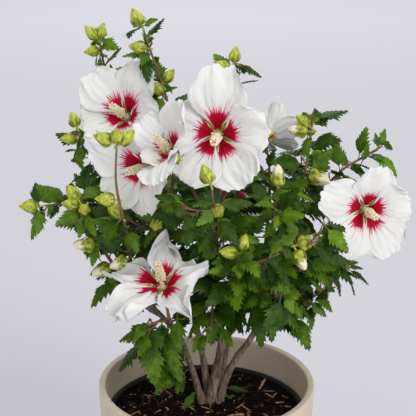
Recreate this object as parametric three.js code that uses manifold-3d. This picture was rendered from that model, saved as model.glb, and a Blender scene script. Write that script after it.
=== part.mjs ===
// A young hibiscus shrub (rose of Sharon) with white, red-hearted flowers, standing in a round planter.
// Millimetres, +Z up. The origin is the middle of the planter's flat underside, and -Y is the shrub's front.
// Each stem and bough is one tapering limb. Each mass of foliage is one stem with its side twigs, leaves,
// buds and flower fused to it, grown by one seeded rule from the plans listed below.
import * as THREE from 'three';
import { mergeVertices } from 'three/addons/utils/BufferGeometryUtils.js';
import Module from 'manifold-3d';

const wasm = await Module();
wasm.setup();

// ---- Driving dimensions -------------------------------------------------------------------------

const GAP = 0.3; // clear space between pieces that touch
const LEAF_CLEARANCE = 1.2; // space that a leaf or twig keeps from every other node

const PLANTER = { height: 215, rimRadius: 115, footRadius: 107, wall: 7.5, floor: 10, edge: 2.5, sides: 32 };
const LINER = { rim: 182, rimRadius: 104.5, footRadius: 88, wall: 2, floor: 3, lip: 2, sides: 24 };
const SOIL = { edge: 178, crown: 180, crownRadius: 42, sides: 24 };

const LIMB_SIDES = 5;
const TWIG_SIDES = 3;
const LEAF = { length: 50, width: 33, thickness: 2.6, shoulder: 0.48, sag: 0.1, fold: 0.02, stalk: 7 };
const TWIG = { radius: 1.9, tip: 1.2, leafSpacing: 13 };
const BUD = { length: 18, radius: 6.8, stalk: 6, stalkRadius: 1.4, sides: 5, sunk: 3 };
const PETAL = { length: 58, width: 54, root: 5, shoulder: 0.16, thickness: 1.3, cup: 4, overlap: 2 };
const PETAL_OUTLINE = [0.1, 0.36, 0.8, 0.66]; // widths at the root, the thirds and the tip
const COLUMN = { length: 36, radius: 1.8, antherRadius: 3.6, antherFrom: 0.3 };
const CALYX = { length: 12, radius: 8, lift: -2 };
const YOUNG = 0.3; // how much smaller the leaves at the tip of a stem are
const TRIES = { count: 4, turn: 50 }; // places round its stem that a leaf tries, degrees apart
const GOLDEN_TURN = 137.5; // degrees round the stem from one leaf to the next

// Stems and boughs. A path starts at the foot, or from a place along another limb, and runs smoothly
// through the points that follow. Radii are at the foot and at the tip.
const LIMBS = [
  { name: 'stem_main', foot: [4, 18], through: [[18, 22, 248], [36, 21, 277], [62, 8, 352]],
    radii: [4.6, 2.4], flare: 0.7 },
  { name: 'stem_right', foot: [13, 20], through: [[25, 16, 219], [48, 15, 258], [82, 2, 318]],
    radii: [3.8, 2.0], flare: 0.4 },
  { name: 'stem_left', foot: [-4, 17], through: [[-13, 10, 214], [-30, -10, 272], [-72, -28, 332]],
    radii: [3.4, 1.8], flare: 0.4 },
  { name: 'stem_leaning', foot: [3, 27], through: [[-10, 26, 262], [-38, 22, 336], [-48, 10, 386]],
    radii: [3.4, 1.8], flare: 0.3 },
  { name: 'stem_back', foot: [13, 29], through: [[24, 52, 245], [36, 86, 312]],
    radii: [3.2, 1.9], flare: 0.3 },
  { name: 'stem_upright', from: ['stem_main', 0.33], through: [[16, 20, 285], [10, 10, 335], [6, -6, 396]],
    radii: [2.9, 1.7] },
  { name: 'bough_front_left', from: ['stem_left', 0.75], through: [[-62, -36, 318], [-74, -46, 356]],
    radii: [1.9, 1.5] },
  { name: 'bough_left', from: ['stem_left', 0.9], through: [[-92, -10, 362], [-110, -8, 396]],
    radii: [1.8, 1.4] },
  { name: 'bough_low_front', from: ['stem_left', 0.5], through: [[-30, -34, 285], [-37, -58, 312]],
    radii: [2.0, 1.6] },
  { name: 'bough_front', from: ['stem_upright', 0.4], through: [[20, -24, 322], [24, -58, 344]],
    radii: [1.9, 1.5] },
  { name: 'bough_far_right', from: ['stem_right', 0.82], through: [[92, -2, 342], [108, -8, 380]],
    radii: [1.8, 1.5] },
  { name: 'bough_right_front', from: ['stem_right', 0.9], through: [[86, -26, 336], [92, -46, 362]],
    radii: [1.8, 1.4] },
  { name: 'bough_right', from: ['stem_main', 0.85], through: [[84, 16, 366], [103, 20, 400]],
    radii: [1.8, 1.4] },
  { name: 'bough_back_left', from: ['stem_back', 0.6], through: [[-14, 84, 306], [-52, 90, 346]],
    radii: [2.0, 1.5] },
  { name: 'bough_back_right', from: ['stem_back', 0.75], through: [[66, 84, 330], [92, 76, 368]],
    radii: [1.9, 1.5] },
  { name: 'bough_left_back', from: ['stem_leaning', 0.6], through: [[-66, 42, 352], [-94, 40, 398]],
    radii: [1.9, 1.5] },
];

// Masses. A stem leaves its limb at a share of the limb's length and runs through the points given.
// bare: share of the stem below its first leaf; leaves: on the stem; twigs: side twigs, of the length twig;
// leaf: leaf size against the usual; droop: how far leaves hang; turn: where round the stem the first leaf
// grows.
// bud: [share of the stem, compass heading, climb, size], degrees; heading 0 is +X and 90 is +Y.
// flower: at the stem's tip, facing along heading and climb, its petals turned and opened by degrees;
// petals and bends: each petal's length and bend against the usual.
const MASSES = [
  { name: 'tall_shoot', from: ['stem_leaning', 1],
    through: [[-34, 20, 434], [-36, 24, 500], [-62, 16, 590]],
    bare: 0.3, leaves: 9, leaf: 0.8, droop: 0.2, turn: 20,
    buds: [[1, 175, 62, 1.1], [0.9, 182, 8, 1.05], [0.72, 12, 48, 0.95], [0.66, 192, 40, 1.05]] },
  { name: 'left_tall_shoot', from: ['stem_leaning', 0.94],
    through: [[-72, 38, 452], [-100, 50, 530], [-108, 42, 574]],
    bare: 0.35, leaves: 8, leaf: 0.75, droop: 0.2, turn: 330,
    buds: [[1, 160, 40, 1], [1, 40, 68, 0.9], [0.95, 200, -5, 0.9], [0.78, 350, 5, 0.95]] },
  { name: 'front_left_shoot', from: ['bough_front_left', 1],
    through: [[-77, -58, 400], [-84, -86, 460], [-82, -96, 505]],
    bare: 0.1, leaves: 9, leaf: 0.75, droop: 0.35, turn: 250,
    buds: [[1, 180, 20, 1.1], [1, 275, 55, 1], [0.98, 5, 42, 1.1], [0.6, 186, 6, 1.1],
      [0.44, 160, 42, 1.1], [0.12, 215, -12, 1.15]] },
  { name: 'left_shoot', from: ['stem_left', 1],
    through: [[-98, -33, 368], [-112, -40, 400], [-123, -45, 430]],
    bare: 0.12, leaves: 8, leaf: 0.9, droop: 0.45, turn: 200,
    buds: [[1, 150, 45, 1.1], [0.97, 190, 12, 1], [0.94, 285, 15, 0.95], [0.55, 184, 2, 1.3],
      [0.3, 205, -12, 1.2]] },
  { name: 'far_left_shoot', from: ['bough_left', 1],
    through: [[-128, -22, 420], [-146, -32, 424], [-162, -36, 424]],
    bare: 0.25, leaves: 5, leaf: 0.85, droop: 0.3, turn: 80,
    buds: [[1, 182, 0, 1.1]] },
  { name: 'upper_left_spray', from: ['bough_left_back', 1],
    through: [[-104, 20, 442], [-122, 4, 470], [-128, 2, 492]],
    bare: 0.1, leaves: 10, leaf: 0.85, droop: 0.35, turn: 120,
    buds: [[1, 130, 55, 0.95], [0.9, 188, 5, 1]] },
  { name: 'top_shoot', from: ['stem_upright', 0.93], through: [[14, 20, 450], [20, 24, 505], [27, 20, 553]],
    bare: 0.35, leaves: 8, leaf: 0.75, droop: 0.25, turn: 10,
    buds: [[1, 60, 75, 0.95], [0.97, 180, 22, 1]] },
  { name: 'right_shoot', from: ['stem_main', 1], through: [[82, 5, 380], [97, 0, 433], [107, 0, 512]],
    bare: 0.15, leaves: 12, leaf: 0.95, droop: 0.4, turn: 0,
    buds: [[0.87, 182, 6, 1.15], [0.89, 168, 38, 1], [0.62, 325, -12, 1.4]] },
  { name: 'far_right_shoot', from: ['bough_right', 1],
    through: [[136, 22, 440], [160, 24, 456], [180, 25, 468]],
    bare: 0.12, leaves: 12, leaf: 0.85, droop: 0.3, turn: 60, buds: [] },
  { name: 'low_right_shoot', from: ['stem_right', 0.62],
    through: [[74, -14, 296], [102, -28, 318], [120, -34, 336]],
    bare: 0.55, leaves: 7, leaf: 1.05, droop: 0.55, turn: 330, buds: [] },

  { name: 'flower_centre', from: ['stem_upright', 1],
    through: [[22, -14, 440], [20, -34, 476], [11, -48, 500]],
    bare: 0.25, leaves: 2, leaf: 0.9, droop: 0.4, turn: 90, buds: [],
    flower: { heading: 264, climb: 4, turn: 3, size: 1.05, open: [42, 90],
      petals: [1.2, 0.86, 0.89, 0.89, 0.84], bends: [1.2, 1, 1, 1, 1] } },
  { name: 'flower_right', from: ['bough_far_right', 1], through: [[134, -8, 398], [160, -4, 410]],
    bare: 0.1, leaves: 4, leaf: 0.9, droop: 0.5, turn: 150, buds: [],
    flower: { heading: 284, climb: 3, turn: 8, size: 0.93, open: [42, 90],
      petals: [0.92, 0.84, 0.98, 1.04, 1.2] } },
  { name: 'flower_upper_left', from: ['stem_leaning', 0.85], through: [[-58, 28, 438], [-80, 16, 500]],
    bare: 0.3, leaves: 2, leaf: 0.9, droop: 0.4, turn: 40, buds: [],
    flower: { heading: 242, climb: 34, turn: 20, size: 0.96, open: [40, 86],
      petals: [1.02, 0.88, 0.72, 0.8, 1.02] } },
  { name: 'flower_mid_left', from: ['stem_upright', 0.78], through: [[-28, -16, 420], [-57, -42, 467]],
    bare: 0.3, leaves: 2, leaf: 0.9, droop: 0.5, turn: 200, buds: [],
    flower: { heading: 236, climb: 3, turn: 6, size: 0.92, open: [38, 86],
      petals: [0.72, 0.62, 0.9, 0.95, 1.05] } },
  { name: 'flower_middle', from: ['stem_upright', 0.9], through: [[-14, -30, 440], [-30, -76, 487]],
    bare: 0.4, leaves: 1, leaf: 0.8, droop: 0.4, turn: 60, buds: [],
    flower: { heading: 214, climb: 47, turn: 0, size: 0.9, open: [30, 66],
      petals: [0.95, 0.8, 0.9, 0.55, 0.92], bends: [1, 1, 2.3, 1, 1] } },
  { name: 'flower_low', from: ['bough_low_front', 1], through: [[-38, -80, 332], [-42, -88, 359]],
    bare: 0.1, leaves: 0, leaf: 1, droop: 1, turn: 250, buds: [],
    flower: { heading: 255, climb: 66, turn: 354, size: 0.94, open: [46, 104],
      petals: [0.98, 0.8, 1.12, 1.12, 1.05], bends: [0.82, 1, 1.3, 1.25, 1.75] } },
  { name: 'flower_back_right', from: ['stem_main', 0.97], through: [[66, 32, 424], [61, 32, 474]],
    bare: 0.3, leaves: 3, leaf: 0.85, droop: 0.4, turn: 0, buds: [],
    flower: { heading: 62, climb: 8, turn: 0, size: 0.7, open: [22, 58] } },

  { name: 'spray_front_centre', from: ['stem_upright', 0.72],
    through: [[2, -40, 398], [7, -88, 436], [5, -112, 468]],
    bare: 0.15, leaves: 8, leaf: 0.95, droop: 0.5, turn: 140, twigs: 2, twig: 42,
    buds: [[1, 150, 65, 1.1], [0.72, 300, 35, 1.05]] },
  { name: 'spray_left_hanging', from: ['bough_low_front', 0.62],
    through: [[-42, -58, 310], [-56, -70, 312]],
    bare: 0.15, leaves: 6, leaf: 1.1, droop: 1.2, turn: 90, twigs: 2, twig: 28, buds: [] },
  { name: 'spray_bright', from: ['bough_front', 1], through: [[28, -84, 368], [33, -98, 398]],
    bare: 0.2, leaves: 7, leaf: 1, droop: 0.35, turn: 0, twigs: 2, twig: 34,
    buds: [[1, 60, 60, 0.95], [0.98, 185, 10, 1.05]] },
  { name: 'spray_front_low', from: ['bough_front', 0.45], through: [[10, -42, 330], [4, -70, 334]],
    bare: 0.15, leaves: 7, leaf: 1.05, droop: 0.7, turn: 60, twigs: 2, twig: 34, buds: [] },
  { name: 'spray_low_left', from: ['stem_left', 0.38], through: [[-34, -18, 270], [-46, -34, 280]],
    bare: 0.3, leaves: 5, leaf: 1.1, droop: 1.2, turn: 180, twigs: 2, twig: 24, buds: [] },
  { name: 'spray_front_right', from: ['bough_right_front', 0.55], through: [[68, -58, 350], [58, -82, 372]],
    bare: 0.15, leaves: 7, leaf: 1.05, droop: 0.6, turn: 30, twigs: 2, twig: 38, buds: [] },
  { name: 'spray_right_buds', from: ['bough_right_front', 1], through: [[92, -64, 382], [84, -74, 396]],
    bare: 0.1, leaves: 6, leaf: 0.95, droop: 0.5, turn: 300, twigs: 2, twig: 36,
    buds: [[1, 20, 10, 1.25], [0.98, 320, -55, 1.2]] },
  { name: 'spray_right_low', from: ['stem_right', 0.72], through: [[70, -34, 324], [68, -56, 340]],
    bare: 0.15, leaves: 6, leaf: 1, droop: 0.6, turn: 100, twigs: 2, twig: 34, buds: [] },
  { name: 'spray_right', from: ['bough_far_right', 0.5], through: [[110, 10, 356], [130, 6, 366]],
    bare: 0.1, leaves: 6, leaf: 1.0, droop: 0.6, turn: 210, twigs: 2, twig: 36, buds: [] },
  { name: 'spray_right_upper', from: ['stem_main', 0.9], through: [[66, -22, 400], [70, -38, 440]],
    bare: 0.15, leaves: 6, leaf: 0.95, droop: 0.5, turn: 80, twigs: 2, twig: 40,
    buds: [[1, 90, 80, 1.25]] },
  { name: 'spray_upper_right', from: ['stem_upright', 0.85], through: [[30, 8, 420], [50, 6, 446]],
    bare: 0.2, leaves: 6, leaf: 0.95, droop: 0.5, turn: 0, twigs: 2, twig: 40, buds: [] },
  { name: 'spray_centre_left', from: ['stem_leaning', 0.78], through: [[-46, -22, 384], [-50, -52, 410]],
    bare: 0.2, leaves: 6, leaf: 1.0, droop: 0.6, turn: 160, twigs: 2, twig: 38,
    buds: [[1, 280, 20, 1]] },
  { name: 'spray_left', from: ['bough_left', 0.6], through: [[-96, 20, 382], [-104, 30, 412]],
    bare: 0.1, leaves: 6, leaf: 1.0, droop: 0.5, turn: 40, twigs: 2, twig: 36, buds: [] },
  { name: 'spray_left_low', from: ['stem_left', 0.82], through: [[-64, -2, 338], [-84, 14, 348]],
    bare: 0.15, leaves: 6, leaf: 1.05, droop: 0.7, turn: 270, twigs: 1, twig: 34, buds: [] },
  { name: 'spray_back_upper', from: ['stem_upright', 0.66], through: [[12, 52, 392], [8, 78, 424]],
    bare: 0.15, leaves: 6, leaf: 1.0, droop: 0.5, turn: 20, twigs: 2, twig: 44, buds: [[1, 80, 70, 1]] },
  { name: 'spray_back', from: ['stem_back', 1], through: [[34, 112, 342], [28, 126, 366]],
    bare: 0.1, leaves: 5, leaf: 1.05, droop: 0.6, turn: 120, twigs: 2, twig: 38, buds: [],
    flower: { heading: 96, climb: 14, turn: 10, size: 0.98, open: [36, 86] } },
  { name: 'spray_back_low', from: ['stem_back', 0.6], through: [[42, 94, 292], [38, 114, 308]],
    bare: 0.2, leaves: 6, leaf: 1.15, droop: 0.6, turn: 0, twigs: 1, twig: 36, buds: [] },
  { name: 'spray_back_left', from: ['bough_back_left', 1], through: [[-72, 100, 368], [-78, 104, 392]],
    bare: 0.1, leaves: 5, leaf: 1.0, droop: 0.6, turn: 220, twigs: 2, twig: 40, buds: [[1, 110, 60, 1.1]] },
  { name: 'spray_back_left_low', from: ['bough_back_left', 0.5],
    through: [[-30, 106, 300], [-42, 116, 306]],
    bare: 0.15, leaves: 6, leaf: 1.1, droop: 0.6, turn: 320, twigs: 1, twig: 34, buds: [] },
  { name: 'spray_right_back', from: ['bough_back_right', 1], through: [[104, 78, 392], [110, 72, 414]],
    bare: 0.1, leaves: 6, leaf: 1.0, droop: 0.5, turn: 60, twigs: 1, twig: 38, buds: [[1, 40, 60, 1]] },
  { name: 'spray_right_back_low', from: ['bough_back_right', 0.5], through: [[84, 94, 330], [98, 98, 338]],
    bare: 0.15, leaves: 5, leaf: 1.05, droop: 0.7, turn: 190, twigs: 2, twig: 34,
    buds: [[1, 70, 40, 1.1]] },
  { name: 'spray_inner_left', from: ['bough_left_back', 0.6], through: [[-60, 58, 396], [-56, 60, 424]],
    bare: 0.15, leaves: 6, leaf: 1.0, droop: 0.5, turn: 100, twigs: 1, twig: 38, buds: [] },
];

// ---- Small tools --------------------------------------------------------------------------------

const UP = new THREE.Vector3(0, 0, 1);
const RIGHT = new THREE.Vector3(1, 0, 0);
const radians = THREE.MathUtils.degToRad;

// The same generator with the same seed gives the same plant every time.
function seeded(seed) {
  let state = (seed * 2654435761) >>> 0;
  return () => {
    state = (Math.imul(state, 1664525) + 1013904223) >>> 0;
    return state / 4294967296;
  };
}

function direction(heading, climb) {
  const level = Math.cos(radians(climb));
  return new THREE.Vector3(
    level * Math.cos(radians(heading)), level * Math.sin(radians(heading)), Math.sin(radians(climb)));
}

// Two directions square to a third: one to its side, and one over it.
function squareTo(along) {
  const side = new THREE.Vector3().crossVectors(along, Math.abs(along.z) < 0.95 ? UP : RIGHT).normalize();
  const over = new THREE.Vector3().crossVectors(side, along).normalize();
  return { side, over };
}

// A closed shape as a solid. A shape that was mapped through a mirror is turned outside out.
function solidOf(geometry) {
  const bare = geometry.clone();
  bare.deleteAttribute('normal');
  bare.deleteAttribute('uv');
  const merged = mergeVertices(bare, 1e-4);
  const corners = new Uint32Array(merged.index.array);
  const make = () => new wasm.Manifold(new wasm.Mesh({
    numProp: 3, vertProperties: merged.attributes.position.array, triVerts: corners,
  }));
  const solid = make();
  if (solid.volume() > 0) return solid;
  for (let i = 0; i < corners.length; i += 3) {
    [corners[i], corners[i + 1]] = [corners[i + 1], corners[i]];
  }
  return make();
}

function geometryOf(solid) {
  const mesh = solid.getMesh();
  const geometry = new THREE.BufferGeometry();
  geometry.setAttribute('position', new THREE.BufferAttribute(mesh.vertProperties, 3));
  geometry.setIndex(new THREE.BufferAttribute(mesh.triVerts, 1));
  geometry.computeVertexNormals();
  return geometry;
}

function moveVertices(geometry, place) {
  const position = geometry.attributes.position;
  const vertex = new THREE.Vector3();
  for (let i = 0; i < position.count; i++) {
    vertex.fromBufferAttribute(position, i);
    const moved = place(vertex);
    position.setXYZ(i, moved.x, moved.y, moved.z);
  }
  return geometry;
}

// Puts a shape that was made round +Z, with its root at the origin, at a place and facing a direction.
function aimed(geometry, place, facing, roll = 0) {
  const { side, over } = squareTo(facing);
  const across = side.clone().multiplyScalar(Math.cos(roll)).addScaledVector(over, Math.sin(roll));
  const third = new THREE.Vector3().crossVectors(facing, across);
  const basis = new THREE.Matrix4().makeBasis(across, third, facing).setPosition(place);
  return geometry.applyMatrix4(basis);
}

function boxesMeet(a, b) {
  return [0, 1, 2].every((i) => a.min[i] <= b.max[i] && b.min[i] <= a.max[i]);
}

function overlaps(a, b) {
  return boxesMeet(a.boundingBox(), b.boundingBox()) && !a.intersect(b).isEmpty();
}

function largestBody(solid) {
  return solid.decompose().sort((a, b) => b.volume() - a.volume())[0];
}

// ---- Stems, twigs, leaves, buds and flowers -----------------------------------------------------

// A closed round bar along a curve, with its radius given for each share of the length.
function bar(curve, radiusAt, sides, steps) {
  const straight = new THREE.CylinderGeometry(1, 1, 1, sides, steps);
  const { normals, binormals } = curve.computeFrenetFrames(steps);
  return moveVertices(straight, (v) => {
    const share = v.y + 0.5;
    const ring = Math.round(share * steps);
    return curve.getPointAt(share)
      .addScaledVector(normals[ring], v.x * radiusAt(share))
      .addScaledVector(binormals[ring], v.z * radiusAt(share));
  });
}

function smoothPath(points) {
  return new THREE.CatmullRomCurve3(points, false, 'catmullrom', 0.5);
}

function limbSolid(limb, grow = 0) {
  const [foot, tip] = limb.radii;
  const flare = limb.flare ?? 0;
  const radiusAt = (t) => THREE.MathUtils.lerp(foot, tip, t) * (1 + flare * Math.exp(-t * 14)) + grow;
  const whole = solidOf(bar(limb.curve, radiusAt, LIMB_SIDES, limb.through.length * 2));
  return limb.foot ? whole.trimByPlane([0, 0, 1], SOIL.crown + GAP - grow) : whole;
}

// Six faces, from a double pyramid: the root and tip are its poles, and a ridge and two shoulders its waist.
function leafGeometry(length, width, grow = 0) {
  const { thickness, shoulder, sag, fold } = LEAF;
  return moveVertices(new THREE.SphereGeometry(1, 3, 2), (v) => {
    if (v.y < -0.5) return new THREE.Vector3(0, -grow, 0);
    if (v.y > 0.5) return new THREE.Vector3(0, length + grow, -length * sag);
    if (v.x < -0.5) return new THREE.Vector3(0, length * shoulder, thickness + grow);
    return new THREE.Vector3(Math.sign(v.z) * (width / 2 + grow), length * shoulder, length * fold - grow);
  });
}

// A leaf at a place, pointing along a direction with its upper face turned to the sky.
function placedLeaf({ place, along, roll, length, width }, grow = 0) {
  const { side, over } = squareTo(along);
  const across = side.clone().multiplyScalar(Math.cos(roll)).addScaledVector(over, Math.sin(roll));
  const above = new THREE.Vector3().crossVectors(across, along);
  const basis = new THREE.Matrix4().makeBasis(across, along, above).setPosition(place);
  return solidOf(leafGeometry(length, width, grow).applyMatrix4(basis));
}

// A stalk that swells into a pointed bud: a root, a neck ring, a widest ring and a tip.
function budSolid(place, facing, size, grow) {
  const { length, radius, stalk, stalkRadius, sides } = BUD;
  const shape = moveVertices(new THREE.SphereGeometry(1, sides, 3), (v) => {
    if (v.y > 0.9) return new THREE.Vector3(0, 0, (stalk + length) * size + grow);
    if (v.y < -0.9) return new THREE.Vector3();
    const ring = Math.hypot(v.x, v.z);
    const spread = (v.y > 0 ? radius * size : stalkRadius) + grow;
    const height = v.y > 0 ? stalk + 0.45 * length : stalk;
    return new THREE.Vector3((v.x / ring) * spread, (v.z / ring) * spread, height * size);
  });
  return solidOf(aimed(shape, place, facing));
}

// One petal round +Z: an arc that opens from the first angle at its claw to the second at its tip.
// A petal of a flower that is less open is narrower, so that it keeps off its neighbours.
function petalGeometry(azimuth, length, opening, grow) {
  const [start, end] = opening.map(radians);
  const bend = end - start;
  const half = (PETAL.width / 2) * Math.sin(Math.min(end, Math.PI / 2)) ** 1.7;
  const thickness = PETAL.thickness + 2 * grow;
  const bands = PETAL_OUTLINE.length - 1;
  return moveVertices(new THREE.BoxGeometry(1, 1, 1, 2, bands, 1), (v) => {
    const share = v.y + 0.5;
    const across = v.x * 2;
    const angle = start + bend * share * (1 - PETAL.shoulder * across * across);
    const lift = PETAL.cup * across * across * share + PETAL.overlap * across * share + v.z * thickness;
    const arc = (length / bend) * (Math.cos(start) - Math.cos(angle));
    const outward = PETAL.root + arc - Math.cos(angle) * lift + share * grow;
    const height = (length / bend) * (Math.sin(angle) - Math.sin(start)) + Math.sin(angle) * lift;
    const sideways = across * (half * PETAL_OUTLINE[Math.round(share * bands)] + grow);
    return new THREE.Vector3(
      outward * Math.cos(azimuth) - sideways * Math.sin(azimuth),
      outward * Math.sin(azimuth) + sideways * Math.cos(azimuth),
      height);
  });
}

// Calyx, five petals and the column in the middle, made round +Z at full size and then scaled.
function flowerSolid(flower, place, grow) {
  const calyx = new THREE.CylinderGeometry(CALYX.radius + grow, 2 + grow, CALYX.length, 5);
  const shapes = [calyx.rotateX(Math.PI / 2).translate(0, 0, CALYX.lift)];
  for (let k = 0; k < 5; k++) {
    const share = flower.petals?.[k] ?? 1;
    const [start, end] = flower.open;
    const opening = [start, start + (end - start) * (flower.bends?.[k] ?? 1)];
    shapes.push(petalGeometry(radians(90 - flower.turn - 72 * k), PETAL.length * share, opening, grow));
  }
  const anthers = (t) => COLUMN.antherRadius * (1.25 - 0.6 * t);
  const radiusAt = (t) => grow + (t < COLUMN.antherFrom ? COLUMN.radius : anthers(t));
  const axis = new THREE.LineCurve3(new THREE.Vector3(), new THREE.Vector3(0, 0, COLUMN.length + grow));
  shapes.push(bar(axis, radiusAt, 5, 3));
  const { size } = flower;
  const facing = direction(flower.heading, flower.climb);
  return wasm.Manifold.union(
    shapes.map((shape) => solidOf(aimed(shape.scale(size, size, size), place, facing, Math.PI))));
}

// ---- The rule that every mass grows by ----------------------------------------------------------

// The direction in which something leaves a stem: round it by turn, away from it by lean, in degrees.
function offshoot(curve, share, turn, lean) {
  const along = curve.getTangentAt(share);
  const { side, over } = squareTo(along);
  const outward = side.multiplyScalar(Math.cos(radians(turn))).addScaledVector(over, Math.sin(radians(turn)));
  return along.multiplyScalar(Math.cos(radians(lean))).addScaledVector(outward, Math.sin(radians(lean)));
}

function leafPlan(plan, { curve, share, turn }, random) {
  const along = offshoot(curve, share, turn + 40 * (random() - 0.5), 52 + 24 * (random() - 0.5));
  along.z -= plan.droop * (0.6 + 0.8 * random());
  along.normalize();
  const size = plan.leaf * (0.82 + 0.36 * random()) * (1 - YOUNG * share);
  return {
    place: curve.getPointAt(share), along, roll: 0.7 * (random() - 0.5),
    length: LEAF.length * size, width: LEAF.width * size,
  };
}

// Works out the stem and side twigs of a mass, and the slots along them that leaves grow from.
function growthOf(plan, random) {
  const foot = plan.limb.curve.getPointAt(plan.from[1]);
  const stem = smoothPath([foot, ...plan.through.map((p) => new THREE.Vector3(...p))]);
  const slots = [];
  for (let i = 0; i < plan.leaves; i++) {
    const share = plan.bare + ((0.98 - plan.bare) * (i + 0.5)) / plan.leaves;
    slots.push({ curve: stem, share, turn: plan.turn + GOLDEN_TURN * i });
  }
  const twigs = [];
  for (let i = 0; i < (plan.twigs ?? 0); i++) {
    const share = 0.25 + (0.7 * (i + 0.5)) / plan.twigs;
    const away = offshoot(stem, share, plan.turn + 70 + GOLDEN_TURN * i, 58 + 20 * (random() - 0.5));
    const length = plan.twig * (0.8 + 0.4 * random());
    const start = stem.getPointAt(share);
    const end = start.clone().addScaledVector(away, length);
    end.z += length * (0.25 - 0.3 * plan.droop);
    const curve = smoothPath([start, start.clone().addScaledVector(away, length / 2), end]);
    const count = Math.max(2, Math.round(length / TWIG.leafSpacing));
    twigs.push({
      curve,
      slots: Array.from({ length: count }, (_, k) => (
        { curve, share: 0.3 + (0.69 * (k + 0.6)) / count, turn: 90 + GOLDEN_TURN * (k + i) })),
    });
  }
  return { stem, slots, twigs };
}

function twigSolid(curve, foot, tip, steps, grow = 0) {
  return solidOf(bar(curve, (t) => THREE.MathUtils.lerp(foot, tip, t) + grow, TWIG_SIDES, steps));
}

// ---- Planter, liner and soil --------------------------------------------------------------------

function turned(profile, sides) {
  const lathe = new THREE.LatheGeometry(profile.map(([r, z]) => new THREE.Vector2(r, z)), sides);
  return lathe.rotateX(Math.PI / 2);
}

function planterGeometry() {
  const { height, rimRadius, footRadius, wall, floor, edge, sides } = PLANTER;
  const radiusAt = (z) => THREE.MathUtils.lerp(footRadius, rimRadius, z / height);
  return turned([
    [0, 0], [footRadius - edge, 0], [footRadius, edge], [radiusAt(height - edge), height - edge],
    [rimRadius - edge, height], [rimRadius - wall + edge, height], [rimRadius - wall, height - edge],
    [footRadius - wall, floor], [0, floor],
  ], sides);
}

function linerGeometry() {
  const { rim, rimRadius, footRadius, wall, floor, lip, sides } = LINER;
  const bottom = PLANTER.floor + GAP;
  const neck = rimRadius - lip + wall / 2;
  return turned([
    [0, bottom], [footRadius, bottom], [neck, rim - 2 * lip], [rimRadius, rim - 2 * lip], [rimRadius, rim],
    [neck - wall, rim], [footRadius - wall, bottom + floor], [0, bottom + floor],
  ], sides);
}

function soilGeometry() {
  const { edge, crown, crownRadius, sides } = SOIL;
  const bottom = PLANTER.floor + LINER.floor + 2 * GAP;
  const innerFoot = LINER.footRadius - LINER.wall;
  const innerTop = LINER.rimRadius - LINER.lip - LINER.wall / 2;
  const climb = (edge - bottom) / (LINER.rim - bottom);
  return turned([
    [0, bottom], [innerFoot - 1, bottom], [THREE.MathUtils.lerp(innerFoot, innerTop, climb) - 1, edge],
    [crownRadius, crown], [0, crown],
  ], sides);
}

// ---- Assembly -----------------------------------------------------------------------------------

const MATERIALS = {
  planter: new THREE.MeshStandardMaterial({ color: 0xc9c2ad, roughness: 0.75 }),
  liner: new THREE.MeshStandardMaterial({ color: 0x15181d, roughness: 0.5 }),
  soil: new THREE.MeshStandardMaterial({ color: 0x2a1c12, roughness: 1 }),
  bark: new THREE.MeshStandardMaterial({ color: 0x7a6554, roughness: 0.9 }),
  foliage: new THREE.MeshStandardMaterial({ color: 0x2f5a1c, roughness: 0.6 }),
  blossom: new THREE.MeshStandardMaterial({ color: 0xf1f0ea, roughness: 0.6 }),
};

const shrub = new THREE.Group();

function addNode(name, geometry, material) {
  const mesh = new THREE.Mesh(geometry, material);
  mesh.name = name;
  shrub.add(mesh);
}

addNode('planter', planterGeometry(), MATERIALS.planter);
addNode('liner_pot', linerGeometry(), MATERIALS.liner);
addNode('soil', soilGeometry(), MATERIALS.soil);

// Limbs, each cut clear of the limbs made before it.
const limbs = new Map();
for (const limb of LIMBS) {
  const parent = limb.from && limbs.get(limb.from[0]);
  const foot = limb.foot
    ? new THREE.Vector3(...limb.foot, SOIL.crown - 4)
    : parent.curve.getPointAt(limb.from[1]);
  limb.curve = smoothPath([foot, ...limb.through.map((p) => new THREE.Vector3(...p))]);
  let solid = limbSolid(limb);
  for (const other of limbs.values()) {
    if (overlaps(solid, other.grown)) solid = largestBody(solid.subtract(other.grown));
  }
  limb.solid = solid;
  limb.grown = limbSolid(limb, GAP);
  limbs.set(limb.name, limb);
}
for (const limb of limbs.values()) addNode(limb.name, geometryOf(limb.solid), MATERIALS.bark);

// The stem, buds and flower of a mass.
function coreSolid(plan, { stem }, grow = 0) {
  const foot = Math.min(TWIG.radius * 1.15, plan.limb.radii[1] * 1.3);
  const kept = [twigSolid(stem, foot, TWIG.tip, plan.through.length * 2, grow)];
  for (const [share, heading, climb, size] of plan.buds) {
    const facing = direction(heading, climb);
    kept.push(budSolid(stem.getPointAt(share).addScaledVector(facing, -BUD.sunk), facing, size, grow));
  }
  if (plan.flower) kept.push(flowerSolid(plan.flower, stem.getPointAt(1), grow));
  return wasm.Manifold.union(kept);
}

// Cores come first, each cut clear of the limbs and of the cores before it, so that leaves grow round them.
const masses = [];
MASSES.forEach((plan, index) => {
  plan.limb = limbs.get(plan.from[0]);
  const random = seeded(index + 1);
  const growth = growthOf(plan, random);
  let core = coreSolid(plan, growth);
  if (plan.from[1] === 1) {
    const along = growth.stem.getTangentAt(0);
    core = core.trimByPlane(along.toArray(), growth.stem.getPointAt(0).dot(along) + GAP);
  }
  for (const { grown } of [...limbs.values(), ...masses]) {
    if (overlaps(core, grown)) core = core.subtract(grown);
  }
  masses.push({ plan, random, growth, core: largestBody(core), grown: coreSolid(plan, growth, GAP) });
});

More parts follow.
